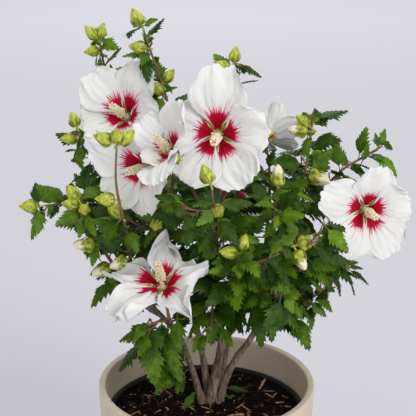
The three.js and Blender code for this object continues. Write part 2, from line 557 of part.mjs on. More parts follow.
// A leaf whose slot is crowded tries other places round its stem, and is left out if none is clear.
// A twig that would come near another node is left out too, with its leaves.
for (const mass of masses) {
  const others = [
    ...[...limbs.values()].map((limb) => limb.solid),
    ...masses.filter((other) => other !== mass).map((other) => other.solid ?? other.core),
  ];
  const parts = [mass.core];
  const isClear = (solid, among) => !among.some((other) => overlaps(solid, other));
  const fits = (leaf) => {
    const blade = {
      ...leaf,
      place: leaf.place.clone().addScaledVector(leaf.along, LEAF.stalk),
      length: leaf.length - LEAF.stalk,
    };
    return isClear(placedLeaf(leaf, LEAF_CLEARANCE), others) && isClear(placedLeaf(blade, GAP), parts);
  };
  const growLeaf = (slot) => {
    for (let attempt = 0; attempt < TRIES.count; attempt++) {
      const turn = slot.turn + TRIES.turn * attempt;
      const leaf = leafPlan(mass.plan, { ...slot, turn }, mass.random);
      if (fits(leaf)) {
        parts.push(placedLeaf(leaf));
        return;
      }
    }
  };
  for (const twig of mass.growth.twigs) {
    if (!isClear(twigSolid(twig.curve, TWIG.radius, TWIG.tip, 2, LEAF_CLEARANCE), others)) continue;
    parts.push(twigSolid(twig.curve, TWIG.radius, TWIG.tip, 2));
    twig.slots.forEach(growLeaf);
  }
  mass.growth.slots.forEach(growLeaf);
  mass.solid = largestBody(wasm.Manifold.union(parts));
  addNode(mass.plan.name, geometryOf(mass.solid), mass.plan.flower ? MATERIALS.blossom : MATERIALS.foliage);
}

export default shrub;
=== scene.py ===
"""Looks of a potted hibiscus shrub with white, red-hearted flowers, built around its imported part.

The plan of stems, boughs and masses is in millimetres, as in the part's source, and the masses grow by the
same seeded rule, carried on to finer leaves. Everything that is built is in metres, in the part's frame:
the origin is the middle of the planter's underside, +Z is up and -Y is the shrub's front.
"""

from dataclasses import dataclass
from math import cos, exp, hypot, pi, radians, sin, sqrt
from types import SimpleNamespace as Sizes

import bpy
import numpy as np
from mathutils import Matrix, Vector, noise
from mathutils.bvhtree import BVHTree


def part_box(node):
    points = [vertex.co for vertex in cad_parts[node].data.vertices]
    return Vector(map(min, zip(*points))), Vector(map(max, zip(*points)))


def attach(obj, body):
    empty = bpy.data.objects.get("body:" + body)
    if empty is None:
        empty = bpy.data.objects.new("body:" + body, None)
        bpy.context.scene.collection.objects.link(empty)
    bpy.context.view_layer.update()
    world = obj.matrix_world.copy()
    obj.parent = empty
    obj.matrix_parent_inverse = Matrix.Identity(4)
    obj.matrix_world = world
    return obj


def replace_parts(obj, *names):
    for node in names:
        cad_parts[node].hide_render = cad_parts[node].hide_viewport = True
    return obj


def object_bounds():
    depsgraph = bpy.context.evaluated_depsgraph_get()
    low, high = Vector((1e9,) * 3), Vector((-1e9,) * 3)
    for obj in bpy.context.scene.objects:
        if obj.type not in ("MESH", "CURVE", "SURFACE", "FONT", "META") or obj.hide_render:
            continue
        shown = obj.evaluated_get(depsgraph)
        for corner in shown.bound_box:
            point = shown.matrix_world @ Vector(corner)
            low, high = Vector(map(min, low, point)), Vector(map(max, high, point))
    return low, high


MM = 0.001
FLOOR_LEVEL = -0.0002  # in metres: the scene's floor, just under the planter

# ---- Driving dimensions, in millimetres and degrees ----------

GAP = 0.3  # how far apart pieces are seated in the source
# edge: the radius of rounded corners; sides, rings, rows and columns: how finely a shape is divided.
PLANTER = Sizes(height=215, rim=115, foot=107, wall=7.5, floor=10, edge=2.5, sides=128)
LINER = Sizes(rim=182, radius=104.5, foot=88, wall=2, floor=3, lip=2, edge=1.2, sides=96)
# lumps: (height, width, seed) of each pattern of lumps; clear: how far the soil stays off the pot's wall.
SOIL = Sizes(edge=178, crown=180, crown_radius=42, fall=80, depth=25, clear=1.4, sides=72, rings=34,
             lumps=((1.3, 9, 0), (0.8, 4, 3)))
# Chips have sizes between two limits, and rarity is how rare the long ones are. dark and brown: the share
# of chips up to each colour. clear: how far they stay off the pot's wall and the stems' middles.
CHIPS = Sizes(count=2300, rarity=5.5, length=(2.5, 34), width=(0.9, 3.4), thickness=(0.6, 2.0),
              dark=0.78, brown=0.94, clear=4)
# thick: the bark's radius against the limb's; furrows and lumps: their depth against the radius.
BARK = Sizes(thick=1.13, furrows=0.24, lumps=0.08, sides=20, ring=1.8)

# sky, outward, light and stray: how strongly a leaf's face turns up, out of the crown, frontward and anyhow.
LEAF = Sizes(length=47, width=27, petiole=0.2, stalk_radius=0.5, sunk=1.5, sky=0.8, outward=0.25, light=0.4,
             stray=0.45, lean=52, young=0.3, rib=0.028)
# A spur's leaves against the usual size, on side twigs and, sparse, on masses without any.
SPUR = Sizes(length=(4, 11), leaves=(1.12, 1.0, 0.84, 0.62), sparse=(1.15, 0.7), lean=50, radius=0.95)
TWIG = Sizes(radius=1.9, tip=1.2, leaf_spacing=13, side_radius=1.35)
# A bud above the opening size shows its petals. tuft: where on its stalk its own spur of leaves grows.
BUD = Sizes(length=17.5, radius=6.0, stalk=6, stalk_radius=1.0, sunk=3, bracts=7, opening=1.12,
            tuft=0.5, leaves=(1.0, 0.9, 0.7, 0.55), lean=78, spur=(0.5, 1.5))
# Leaves low on the stems: limb, share of its length, turn round it, size and kind.
SPROUTS = (("stem_left", 0.12, 240, 0.6, "leaf_mid"), ("stem_left", 0.3, 200, 0.8, "leaf_mid"),
           ("stem_main", 0.2, 20, 0.5, "leaf_dark"), ("stem_right", 0.06, 340, 0.5, "leaf_young"),
           ("stem_right", 0.14, 60, 0.55, "leaf_dark"))
# shoulder: how far a petal's tip is rounded off; cup and overlap: how far both edges, or only one, rise.
PETAL = Sizes(length=58, width=54, root=4.2, shoulder=0.2, cup=4, overlap=2.4, rows=40, columns=33, skin=0.35)
PETAL_OUTLINE = ((0, 0.09), (0.1, 0.1), (0.2, 0.19), (0.3, 0.36), (0.4, 0.58), (0.52, 0.82), (0.66, 0.97),
                 (0.84, 1.0), (1, 0.74))
PETAL_COUNT = 5
PETAL_TURN = 360 / PETAL_COUNT
# A bud's calyx and its furled petals, from its stalk up: (share of its length, share of its radius).
CALYX_OUTLINE = ((0, 0.3), (0.06, 0.62), (0.16, 0.88), (0.3, 1), (0.46, 0.96), (0.62, 0.78), (0.76, 0.54),
                 (0.88, 0.31), (0.96, 0.13), (1, 0.02))
FURLED_OUTLINE = ((0.3, 0.3), (0.45, 0.66), (0.58, 0.72), (0.7, 0.66), (0.82, 0.52), (0.91, 0.34),
                  (0.97, 0.17), (1, 0.03))
# (height, radius) of the cup behind a flower, and of an anther or a stigma against its own radius.
CUP_OUTLINE = ((-10, 1.2), (-9, 2.2), (-7, 3.8), (-4.5, 4.8), (-2, 4.8), (-1, 3.6), (-0.6, 0.5))
BALL_OUTLINE = ((-1, 0.15), (-0.75, 0.7), (0, 1), (0.75, 0.7), (1, 0.15))
# start: the share of the column that is below its anthers.
COLUMN = Sizes(length=36, radius=1.5, anthers=95, anther_radius=1.1, stigma_radius=1.25, start=0.3)
GOLDEN_TURN = 137.5
# A leaf that isn't clear is tried again, turned, up to count times.
TRIES = Sizes(count=5, turn=50)
# heart, bud: the radius kept free of leaves in front of a flower and a bud, to bud_depth before the bud;
# bare: two corners of a box without leaves, which shows the stems; young_above: where young leaves begin.
CROWN = Sizes(radius=110, cell=24, margin=9, heart=54, bud=13, bud_depth=55, young_above=350,
              bare=((-12, -200, 0), (75, 12, 285)))
BRIGHT = ("spray_bright", "spray_front_centre")

# ---- Stage, light and camera, in metres and degrees ----------

STAGE = Sizes(flat=(0.4, 1.0, 2.0, 3.5, 5.0), bank=4.0, rise=1.8, steps=8, sides=64)
# Lamps: place, the point that it faces, size and power in watts.
LAMPS = {
    "key": ((1.3, -1.7, 1.8), (0, 0, 0.3), 1.4, 27),
    "low": ((1.5, -1.9, 0.6), (0, 0, 0.25), 0.9, 8),
    "fill": ((-1.4, -1.9, 1.2), (0, 0, 0.3), 1.4, 8),
    "top": ((-0.3, 0.3, 2.3), (0, 0, 0.3), 1.2, 10),
    "floor": ((0, 3.6, 3.0), (0, 3.6, 0), 2.6, 26),
}
SKY = Sizes(colour=(0.97, 0.97, 1.0, 1), strength=0.58)
CAMERA = Sizes(place=(0.0017, -1.1558, 0.8041), down=18.85, lens=103.85, sensor=36)

# ---- Outlines and the plan, in the source's millimetres and degrees ----------

# Ribs of a leaf, as shares of its length and half width: where each leaves the midrib, and where it ends
# at the edge. They draw two teeth, the side lobe, the notch above it and the toothed middle lobe.
LEAF_RIBS = (
    (0.0, 0.0, 0.04), (0.02, 0.07, 0.2), (0.05, 0.15, 0.42), (0.08, 0.24, 0.7), (0.12, 0.27, 0.62),
    (0.17, 0.44, 1.0), (0.22, 0.41, 0.74), (0.27, 0.55, 0.78), (0.33, 0.5, 0.5), (0.39, 0.67, 0.62),
    (0.46, 0.63, 0.41), (0.55, 0.8, 0.47), (0.64, 0.78, 0.27), (0.74, 0.91, 0.26), (0.85, 0.93, 0.1),
)

# Stems and boughs: name, foot or (parent, share of its length), the points that follow, radii, flare.
LIMBS = (
    ("stem_main", (4, 18), ((18, 22, 248), (36, 21, 277), (62, 8, 352)), (4.6, 2.4), 0.7),
    ("stem_right", (13, 20), ((25, 16, 219), (48, 15, 258), (82, 2, 318)), (3.8, 2.0), 0.4),
    ("stem_left", (-4, 17), ((-13, 10, 214), (-30, -10, 272), (-72, -28, 332)), (3.4, 1.8), 0.4),
    ("stem_leaning", (3, 27), ((-10, 26, 262), (-38, 22, 336), (-48, 10, 386)), (3.4, 1.8), 0.3),
    ("stem_back", (13, 29), ((24, 52, 245), (36, 86, 312)), (3.2, 1.9), 0.3),
    ("stem_upright", ("stem_main", 0.33), ((16, 20, 285), (10, 10, 335), (6, -6, 396)), (2.9, 1.7), 0),
    ("bough_front_left", ("stem_left", 0.75), ((-62, -36, 318), (-74, -46, 356)), (1.9, 1.5), 0),
    ("bough_left", ("stem_left", 0.9), ((-92, -10, 362), (-110, -8, 396)), (1.8, 1.4), 0),
    ("bough_low_front", ("stem_left", 0.5), ((-30, -34, 285), (-37, -58, 312)), (2.0, 1.6), 0),
    ("bough_front", ("stem_upright", 0.4), ((20, -24, 322), (24, -58, 344)), (1.9, 1.5), 0),
    ("bough_far_right", ("stem_right", 0.82), ((92, -2, 342), (108, -8, 380)), (1.8, 1.5), 0),
    ("bough_right_front", ("stem_right", 0.9), ((86, -26, 336), (92, -46, 362)), (1.8, 1.4), 0),
    ("bough_right", ("stem_main", 0.85), ((84, 16, 366), (103, 20, 400)), (1.8, 1.4), 0),
    ("bough_back_left", ("stem_back", 0.6), ((-14, 84, 306), (-52, 90, 346)), (2.0, 1.5), 0),
    ("bough_back_right", ("stem_back", 0.75), ((66, 84, 330), (92, 76, 368)), (1.9, 1.5), 0),
    ("bough_left_back", ("stem_leaning", 0.6), ((-66, 42, 352), (-94, 40, 398)), (1.9, 1.5), 0),
)


@dataclass
class Flower:
    """A flower at a shoot's tip: it faces along heading and climb, and its petals are turned and opened."""

    heading: float  # in degrees, as are all the angles here: 0 is +X, and 90 is +Y
    climb: float
    turn: float
    size: float
    open: tuple  # how far a petal leans out, in degrees, at its root and at its tip
    petals: tuple = (1,) * PETAL_COUNT  # each petal's length against the usual
    bends: tuple = (1,) * PETAL_COUNT  # each petal's bend against the usual
    points: tuple = (0,) * PETAL_COUNT  # how far each petal's tip narrows
    crumple: float = 1  # how ruffled the petals are
    pale: float = 0  # the share of the heart's length that has faded


@dataclass
class Mass:
    """One stem with its leaves. It leaves a limb at a share of its length and runs through points."""

    name: str
    limb: str
    share: float
    through: tuple
    turn: float = 0  # where round the stem its first leaf is, in degrees
    bare: float = 0.15  # the share of the stem below its first leaf
    leaves: int = 6
    leaf: float = 1  # the size of its leaves against the usual
    droop: float = 0.5  # how far they hang
    twigs: int = 0
    twig: float = 36  # the twigs' length
    buds: tuple = ()  # (share of the stem, heading, climb, size); heading 0 is +X, and 90 is +Y
    flower: Flower = None
    kind: str = ""  # the kind of all its leaves, where they are alike


MASSES = (
    Mass("tall_shoot", "stem_leaning", 1, ((-34, 20, 434), (-36, 24, 500), (-62, 16, 590)), turn=20,
         bare=0.3, leaves=9, leaf=0.8, droop=0.2,
         buds=((1, 175, 62, 1.1), (0.9, 182, 8, 1.05), (0.72, 12, 48, 0.95), (0.66, 192, 40, 1.05))),
    Mass("left_tall_shoot", "stem_leaning", 0.94, ((-72, 38, 452), (-100, 50, 530), (-108, 42, 574)),
         turn=330, bare=0.35, leaves=8, leaf=0.75, droop=0.2,
         buds=((1, 160, 40, 1), (1, 40, 68, 0.9), (0.95, 200, -5, 0.9), (0.78, 350, 5, 0.95))),
    Mass("front_left_shoot", "bough_front_left", 1, ((-77, -58, 400), (-84, -86, 460), (-82, -96, 505)),
         turn=250, bare=0.1, leaves=9, leaf=0.75, droop=0.35,
         buds=((1, 180, 20, 1.1), (1, 275, 55, 1), (0.98, 5, 42, 1.1), (0.6, 186, 6, 1.1),
               (0.44, 160, 42, 1.1), (0.12, 215, -12, 1.15))),
    Mass("left_shoot", "stem_left", 1, ((-98, -33, 368), (-112, -40, 400), (-123, -45, 430)), turn=200,
         bare=0.12, leaves=8, leaf=0.9, droop=0.45,
         buds=((1, 150, 45, 1.1), (0.97, 190, 12, 1), (0.94, 285, 15, 0.95), (0.55, 184, 2, 1.3),
               (0.3, 205, -12, 1.2))),
    Mass("far_left_shoot", "bough_left", 1, ((-128, -22, 420), (-146, -32, 424), (-162, -36, 424)),
         turn=80, bare=0.25, leaves=5, leaf=0.85, droop=0.3, buds=((1, 182, 0, 1.1),)),
    Mass("upper_left_spray", "bough_left_back", 1, ((-104, 20, 442), (-122, 4, 470), (-128, 2, 492)),
         turn=120, bare=0.1, leaves=10, leaf=0.85, droop=0.35, buds=((1, 130, 55, 0.95), (0.9, 188, 5, 1))),
    Mass("top_shoot", "stem_upright", 0.93, ((14, 20, 450), (20, 24, 505), (27, 20, 553)), turn=10,
         bare=0.35, leaves=8, leaf=0.75, droop=0.25, buds=((1, 60, 75, 0.95), (0.97, 180, 22, 1))),
    Mass("right_shoot", "stem_main", 1, ((82, 5, 380), (97, 0, 433), (107, 0, 512)), leaves=12, leaf=0.95,
         droop=0.4, buds=((0.87, 182, 6, 1.15), (0.89, 168, 38, 1), (0.62, 325, -12, 1.4))),
    Mass("far_right_shoot", "bough_right", 1, ((136, 22, 440), (160, 24, 456), (180, 25, 468)), turn=60,
         bare=0.12, leaves=12, leaf=0.85, droop=0.3),
    Mass("low_right_shoot", "stem_right", 0.62, ((74, -14, 296), (102, -28, 318), (120, -34, 336)),
         turn=330, bare=0.55, leaves=7, leaf=1.05, droop=0.55),
    Mass("flower_centre", "stem_upright", 1, ((22, -14, 440), (20, -34, 476), (11, -48, 500)), turn=90,
         bare=0.25, leaves=2, leaf=0.9, droop=0.4,
         flower=Flower(264, 4, 3, 1.05, (42, 90), petals=(1.2, 0.86, 0.89, 0.89, 0.84),
                       bends=(1.2, 1, 1, 1, 1))),
    Mass("flower_right", "bough_far_right", 1, ((134, -8, 398), (160, -4, 410)), turn=150, bare=0.1,
         leaves=4, leaf=0.9,
         flower=Flower(284, 3, 8, 0.93, (42, 90), petals=(0.92, 0.84, 0.98, 1.04, 1.2))),
    Mass("flower_upper_left", "stem_leaning", 0.85, ((-58, 28, 438), (-80, 16, 500)), turn=40, bare=0.3,
         leaves=2, leaf=0.9, droop=0.4,
         flower=Flower(242, 34, 20, 0.96, (40, 86), petals=(1.02, 0.88, 0.72, 0.8, 1.02))),
    Mass("flower_mid_left", "stem_upright", 0.78, ((-28, -16, 420), (-57, -42, 467)), turn=200, bare=0.3,
         leaves=2, leaf=0.9,
         flower=Flower(236, 3, 6, 0.92, (38, 86), petals=(0.72, 0.62, 0.9, 0.95, 1.05))),
    Mass("flower_middle", "stem_upright", 0.9, ((-14, -30, 440), (-30, -76, 487)), turn=60, bare=0.4,
         leaves=1, leaf=0.8, droop=0.4,
         flower=Flower(214, 47, 0, 0.9, (30, 66), petals=(0.95, 0.8, 0.9, 0.55, 0.92),
                       bends=(1, 1, 2.3, 1, 1))),
    Mass("flower_low", "bough_low_front", 1, ((-38, -80, 332), (-42, -88, 359)), turn=250, bare=0.1,
         leaves=0, droop=1,
         flower=Flower(255, 66, 354, 0.94, (46, 104), petals=(0.98, 0.8, 1.12, 1.12, 1.05),
                       bends=(0.82, 1, 1.3, 1.25, 1.75), points=(1.0, 0.5, 1.0, 0.3, 0.5), crumple=5.0)),
    Mass("flower_back_right", "stem_main", 0.97, ((66, 32, 424), (61, 32, 474)), bare=0.3, leaves=3,
         leaf=0.85, droop=0.4,
         flower=Flower(62, 8, 0, 0.7, (22, 58), pale=0.22)),
    Mass("spray_front_centre", "stem_upright", 0.72, ((2, -40, 398), (7, -88, 436), (5, -112, 468)),
         turn=140, leaves=8, leaf=0.95, twigs=2, twig=42, buds=((1, 150, 65, 1.1), (0.72, 300, 35, 1.05))),
    Mass("spray_left_hanging", "bough_low_front", 0.62, ((-42, -58, 310), (-56, -70, 312)), turn=90,
         leaf=1.1, droop=1.2, twigs=2, twig=28),
    Mass("spray_bright", "bough_front", 1, ((28, -84, 368), (33, -98, 398)), bare=0.2, leaves=7,
         droop=0.35, twigs=2, twig=34, buds=((1, 60, 60, 0.95), (0.98, 185, 10, 1.05))),
    Mass("spray_front_low", "bough_front", 0.45, ((10, -42, 330), (4, -70, 334)), turn=60, leaves=7,
         leaf=1.05, droop=0.7, twigs=2, twig=34),
    Mass("spray_low_left", "stem_left", 0.38, ((-34, -18, 270), (-46, -34, 280)), turn=180, bare=0.3,
         leaves=5, leaf=1.1, droop=1.2, twigs=2, twig=24),
    Mass("spray_front_right", "bough_right_front", 0.55, ((68, -58, 350), (58, -82, 372)), turn=30,
         leaves=7, leaf=1.05, droop=0.6, twigs=2, twig=38),
    Mass("spray_right_buds", "bough_right_front", 1, ((92, -64, 382), (84, -74, 396)), turn=300, bare=0.1,
         leaf=0.95, twigs=2, buds=((1, 20, 10, 1.25), (0.98, 320, -55, 1.2))),
    Mass("spray_right_low", "stem_right", 0.72, ((70, -34, 324), (68, -56, 340)), turn=100, droop=0.6,
         twigs=2, twig=34),
    Mass("spray_right", "bough_far_right", 0.5, ((110, 10, 356), (130, 6, 366)), turn=210, bare=0.1,
         droop=0.6, twigs=2),
    Mass("spray_right_upper", "stem_main", 0.9, ((66, -22, 400), (70, -38, 440)), turn=80, leaf=0.95,
         twigs=2, twig=40, buds=((1, 90, 80, 1.25),)),
    Mass("spray_upper_right", "stem_upright", 0.85, ((30, 8, 420), (50, 6, 446)), bare=0.2, leaf=0.95,
         twigs=2, twig=40),
    Mass("spray_centre_left", "stem_leaning", 0.78, ((-46, -22, 384), (-50, -52, 410)), turn=160,
         bare=0.2, droop=0.6, twigs=2, twig=38, buds=((1, 280, 20, 1),)),
    Mass("spray_left", "bough_left", 0.6, ((-96, 20, 382), (-104, 30, 412)), turn=40, bare=0.1, twigs=2),
    Mass("spray_left_low", "stem_left", 0.82, ((-64, -2, 338), (-84, 14, 348)), turn=270, leaf=1.05,
         droop=0.7, twigs=1, twig=34),
    Mass("spray_back_upper", "stem_upright", 0.66, ((12, 52, 392), (8, 78, 424)), turn=20, twigs=2,
         twig=44, buds=((1, 80, 70, 1),)),
    Mass("spray_back", "stem_back", 1, ((34, 112, 342), (28, 126, 366)), turn=120, bare=0.1, leaves=5,
         leaf=1.05, droop=0.6, twigs=2, twig=38,
         flower=Flower(96, 14, 10, 0.98, (36, 86))),
    Mass("spray_back_low", "stem_back", 0.6, ((42, 94, 292), (38, 114, 308)), bare=0.2, leaf=1.15,
         droop=0.6, twigs=1),
    Mass("spray_back_left", "bough_back_left", 1, ((-72, 100, 368), (-78, 104, 392)), turn=220, bare=0.1,
         leaves=5, droop=0.6, twigs=2, twig=40, buds=((1, 110, 60, 1.1),)),
    Mass("spray_back_left_low", "bough_back_left", 0.5, ((-30, 106, 300), (-42, 116, 306)), turn=320,
         leaf=1.1, droop=0.6, twigs=1, twig=34),
    Mass("spray_right_back", "bough_back_right", 1, ((104, 78, 392), (110, 72, 414)), turn=60, bare=0.1,
         twigs=1, twig=38, buds=((1, 40, 60, 1),)),
    Mass("spray_right_back_low", "bough_back_right", 0.5, ((84, 94, 330), (98, 98, 338)), turn=190,
         leaves=5, leaf=1.05, droop=0.7, twigs=2, twig=34, buds=((1, 70, 40, 1.1),)),
    Mass("spray_inner_left", "bough_left_back", 0.6, ((-60, 58, 396), (-56, 60, 424)), turn=100, twigs=1,
         twig=38),
)

UP = np.array([0.0, 0.0, 1.0])
RIGHT = np.array([1.0, 0.0, 0.0])
LIGHTWARD = np.array([-0.2, -1.0, 0.0])  # the side that the leaves have turned to
FRONT = np.array([0, -0.94, 0.33])  # the side that the flowers and the camera are on

# ---- Small tools ----------


def seeded(seed):
    """The source's generator of shares from 0 to 1: the same seed gives the same plant every time."""
    state = (seed * 2654435761) % 2**32

    def draw():
        nonlocal state
        state = (state * 1664525 + 1013904223) % 2**32
        return state / 2**32

    return draw


def unit(vector):
    return vector / np.linalg.norm(vector)


def direction(heading, climb):
    level = cos(radians(climb))
    east = level * cos(radians(heading))
    north = level * sin(radians(heading))
    return np.array([east, north, sin(radians(climb))])


def square_to(along):
    """Two directions square to a third: one to its side, and one over it."""
    side = unit(np.cross(along, UP if abs(along[2]) < 0.95 else RIGHT))
    return side, unit(np.cross(side, along))


def ripple(x, y, z=0.0):
    """Smooth noise between about -1 and 1."""
    return noise.noise(Vector((x, y, z)))


def rippled(x, y, z=0.0):
    """Smooth noise over grids of places."""
    return np.vectorize(ripple)(x, y, z)


def between(limits, share):
    """What lies at a share of the way from one limit to the other."""
    return limits[0] + (limits[1] - limits[0]) * share


def around(sides):
    """Angles that go once round, for the corners of a ring."""
    return np.arange(sides) * 2 * pi / sides


def level_ring(radius, height, sides):
    return [(radius * cos(a), radius * sin(a), height) for a in around(sides)]


def linked(name, data):
    """A new object in the scene for a mesh, a lamp or a camera."""
    made = bpy.data.objects.new(name, data)
    bpy.context.scene.collection.objects.link(made)
    return made


def smooth_mesh(name, points, faces, material):
    """A new smooth mesh object, from points in metres."""
    mesh = bpy.data.meshes.new(name)
    mesh.from_pydata(points, [], faces)
    mesh.polygons.foreach_set("use_smooth", [True] * len(mesh.polygons))
    mesh.materials.append(material)
    mesh.update()
    return linked(name, mesh)


class Path:
    """A smooth curve through points, measured by shares of its length, as the source's curves are."""

    def __init__(self, points):
        p = np.array(points, float)
        p = np.vstack([2 * p[0] - p[1], p, 2 * p[-1] - p[-2]])
        t = np.linspace(0, 1, 33)[:, None]
        spans = [p[1:2]]
        for before, start, end, after in zip(p, p[1:], p[2:], p[3:]):
            leave, arrive = (end - start + start - before) / 2, (after - start) / 2
            square = 3 * (end - start) - 2 * leave - arrive
            cube = 2 * (start - end) + leave + arrive
            spans.append((start + leave * t + square * t**2 + cube * t**3)[1:])
        self.line = np.vstack(spans)
        steps = np.linalg.norm(np.diff(self.line, axis=0), axis=1)
        self.length = steps.sum()
        self.reach = np.concatenate([[0], np.cumsum(steps)]) / self.length

    def at(self, share):
        return np.stack([np.interp(share, self.reach, self.line[:, k]) for k in range(3)], axis=-1)

    def along(self, share):
        return unit(self.at(min(share + 0.01, 1)) - self.at(max(share - 0.01, 0)))

    def frames(self, shares):
        """At each share, two directions square to the curve, carried along it without a twist."""
        side, _ = square_to(self.along(shares[0]))
        pairs = []
        for share in shares:
            along = self.along(share)
            side = unit(side - along * np.dot(side, along))
            pairs.append((side, np.cross(along, side)))
        return pairs


class Gather:
    """Collects small shapes, in millimetres, and joins them into one mesh, in metres."""

    def __init__(self):
        self.points = []
        self.faces = []
        self.count = 0

    def add(self, points, faces):
        points = np.asarray(points, float).reshape(-1, 3)
        self.points.append(points)
        self.faces.extend([[self.count + corner for corner in face] for face in faces])
        self.count += len(points)

    def build(self, name, material, slot):
        piece = smooth_mesh(name, (np.vstack(self.points) * MM).tolist(), self.faces, material)
        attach(piece, "root")
        return piece


def grid_faces(rows, columns, closed=False):
    """Four-cornered faces over a grid of points, whose last column meets the first where it is closed."""
    faces = []
    for row in range(rows - 1):
        for column in range(columns if closed else columns - 1):
            beside = (column + 1) % columns
            low, high = row * columns, (row + 1) * columns
            faces.append((low + column, low + beside, high + beside, high + column))
    return faces


def capped(points, rings, sides):
    """A tube's grid of points with a middle point at each end, and all its faces."""
    points = points.reshape(rings, sides, 3)
    faces = grid_faces(rings, sides, closed=True)
    first, last = rings * sides, rings * sides + 1
    for k in range(sides):
        beside = (k + 1) % sides
        faces.append((beside, k, first))
        faces.append((last - 1 - sides + k, last - 1 - sides + beside, last))
    middles = np.array([points[0].mean(axis=0), points[-1].mean(axis=0)])
    return np.vstack([points.reshape(-1, 3), middles]), faces


def tube(path, radius_at, sides, rings, relief=None):
    """A closed round bar along a path, with relief that may raise its surface by millimetres."""
    shares = np.linspace(0, 1, rings)
    angles = around(sides)
    centres = path.at(shares)
    points = np.empty((rings, sides, 3))
    for ring, (side, over) in enumerate(path.frames(shares)):
        round_it = np.cos(angles)[:, None] * side + np.sin(angles)[:, None] * over
        radius = np.full(sides, radius_at(shares[ring]))
        if relief:
            radius = radius + relief(path.length * shares[ring], angles, radius[0])
        points[ring] = centres[ring] + radius[:, None] * round_it
    return capped(points, rings, sides)


def turned(profile, sides):
    """A closed turned shape from its profile, which starts and ends on the axis."""
    rings = [level_ring(radius, height, sides) for radius, height in profile[1:-1]]
    points, faces = capped(np.array(rings), len(rings), sides)
    points[-2], points[-1] = (0, 0, profile[0][1]), (0, 0, profile[-1][1])
    return points, faces


def aimed(points, place, facing, roll=0.0):
    """Puts a shape that was made round +Z, with its root at the origin, at a place and facing a direction."""
    side, over = square_to(facing)
    across = side * cos(roll) + over * sin(roll)
    return place + np.asarray(points) @ np.array([across, np.cross(facing, across), facing])


def placer(place, facing, roll, size=1):
    """What adds shapes that were made round +Z to a joined one: sized, at a place and facing a direction."""
    def put(shape, made):
        points, faces = made
        shape.add(aimed(np.asarray(points) * size, place, facing, roll), faces)

    return put


def rounded(corners, radius, steps):
    """A profile with each of its inner corners rounded off."""
    corners = [np.array(corner, float) for corner in corners]
    profile = [corners[0]]
    for before, corner, after in zip(corners, corners[1:], corners[2:]):
        cut = min(radius, np.linalg.norm(corner - before) * 0.45, np.linalg.norm(after - corner) * 0.45)
        start, end = corner + unit(before - corner) * cut, corner + unit(after - corner) * cut
        for t in np.linspace(0, 1, steps):
            profile.append(start * (1 - t) ** 2 + corner * 2 * t * (1 - t) + end * t**2)
    return profile + [corners[-1]]


# ---- Materials ----------


def blank(name, **sockets):
    """A new material, and the means to add nodes to it. What is the same all over is set on the shader."""
    material = bpy.data.materials.new(name)
    material.use_nodes = True
    nodes, links = material.node_tree.nodes, material.node_tree.links
    shader = nodes["Principled BSDF"]
    for socket, value in sockets.items():
        shader.inputs[socket].default_value = value

    def node(kind, **inputs):
        made = nodes.new("ShaderNode" + kind)
        for key, value in inputs.items():
            socket = made.inputs[int(key[1:])] if key[0] == "_" else made.inputs[key]
            if isinstance(value, bpy.types.NodeSocket):
                links.new(value, socket)
            else:
                socket.default_value = value
        return made

    return material, shader, node, links.new


def ramp(node, factor, stops):
    """A colour ramp through (place, colour) stops."""
    made = node("ValToRGB", Fac=factor)
    band = made.color_ramp
    while len(band.elements) < len(stops):
        band.elements.new(0.5)
    for element, (place, colour) in zip(band.elements, stops):
        element.position = place
        element.color = (*colour, 1)
    return made.outputs["Color"]


def textured(node, link, shader, pattern, rough, depth, strength):
    """Gives a surface its sheen, between two roughnesses, and its relief's depth, from one pattern."""
    spread = node("MapRange", Value=pattern, _3=rough[0], _4=rough[1])
    link(spread.outputs["Result"], shader.inputs["Roughness"])
    relief = node("Bump", Height=pattern, Distance=depth * MM, Strength=strength)
    link(relief.outputs["Normal"], shader.inputs["Normal"])


def dappled(name, colours, size, rough, bump, stretch=(1, 1, 1), **sockets):
    """A surface whose colour drifts between several over patches of a size, with its own sheen and grain.

    size and the bump's (size, depth) are in millimetres, and rough is the roughness (low, high).
    """
    material, shader, node, link = blank(name, **sockets)
    place = node("Mapping", Vector=node("TexCoord").outputs["Object"], Scale=stretch)
    place = place.outputs["Vector"]
    patches = node("TexNoise", Vector=place, Scale=1 / (size * MM), Detail=5.0, Roughness=0.6)
    steps = np.linspace(0.3, 0.7, len(colours))
    link(ramp(node, patches.outputs["Fac"], list(zip(steps, colours))), shader.inputs["Base Color"])
    grain_size, depth = bump
    grain = node("TexNoise", Vector=place, Scale=1 / (grain_size * MM), Detail=4.0)
    textured(node, link, shader, grain.outputs["Fac"], rough, depth, 0.8)
    return material


def planter_material():
    """Warm beige: fine specks in a matt body."""
    material, shader, node, link = blank("planter_beige", **{"Specular IOR Level": 0.35})
    place = node("TexCoord").outputs["Object"]
    drift = node("TexNoise", Vector=place, Scale=16.0, Detail=5.0)
    body = ramp(node, drift.outputs["Fac"], [(0.3, (0.605, 0.52, 0.385)), (0.7, (0.68, 0.6, 0.46))])
    specks = node("TexNoise", Vector=place, Scale=900.0, Detail=2.0)
    dark = ramp(node, specks.outputs["Fac"], [(0.3, (0.72, 0.7, 0.66)), (0.42, (1, 1, 1))])
    mixed = node("Mix")
    mixed.data_type = "RGBA"
    mixed.blend_type = "MULTIPLY"
    mixed.inputs["Factor"].default_value = 1
    link(body, mixed.inputs["A"])
    link(dark, mixed.inputs["B"])
    link(mixed.outputs["Result"], shader.inputs["Base Color"])
    textured(node, link, shader, specks.outputs["Fac"], (0.5, 0.72), 0.15, 0.6)
    return material


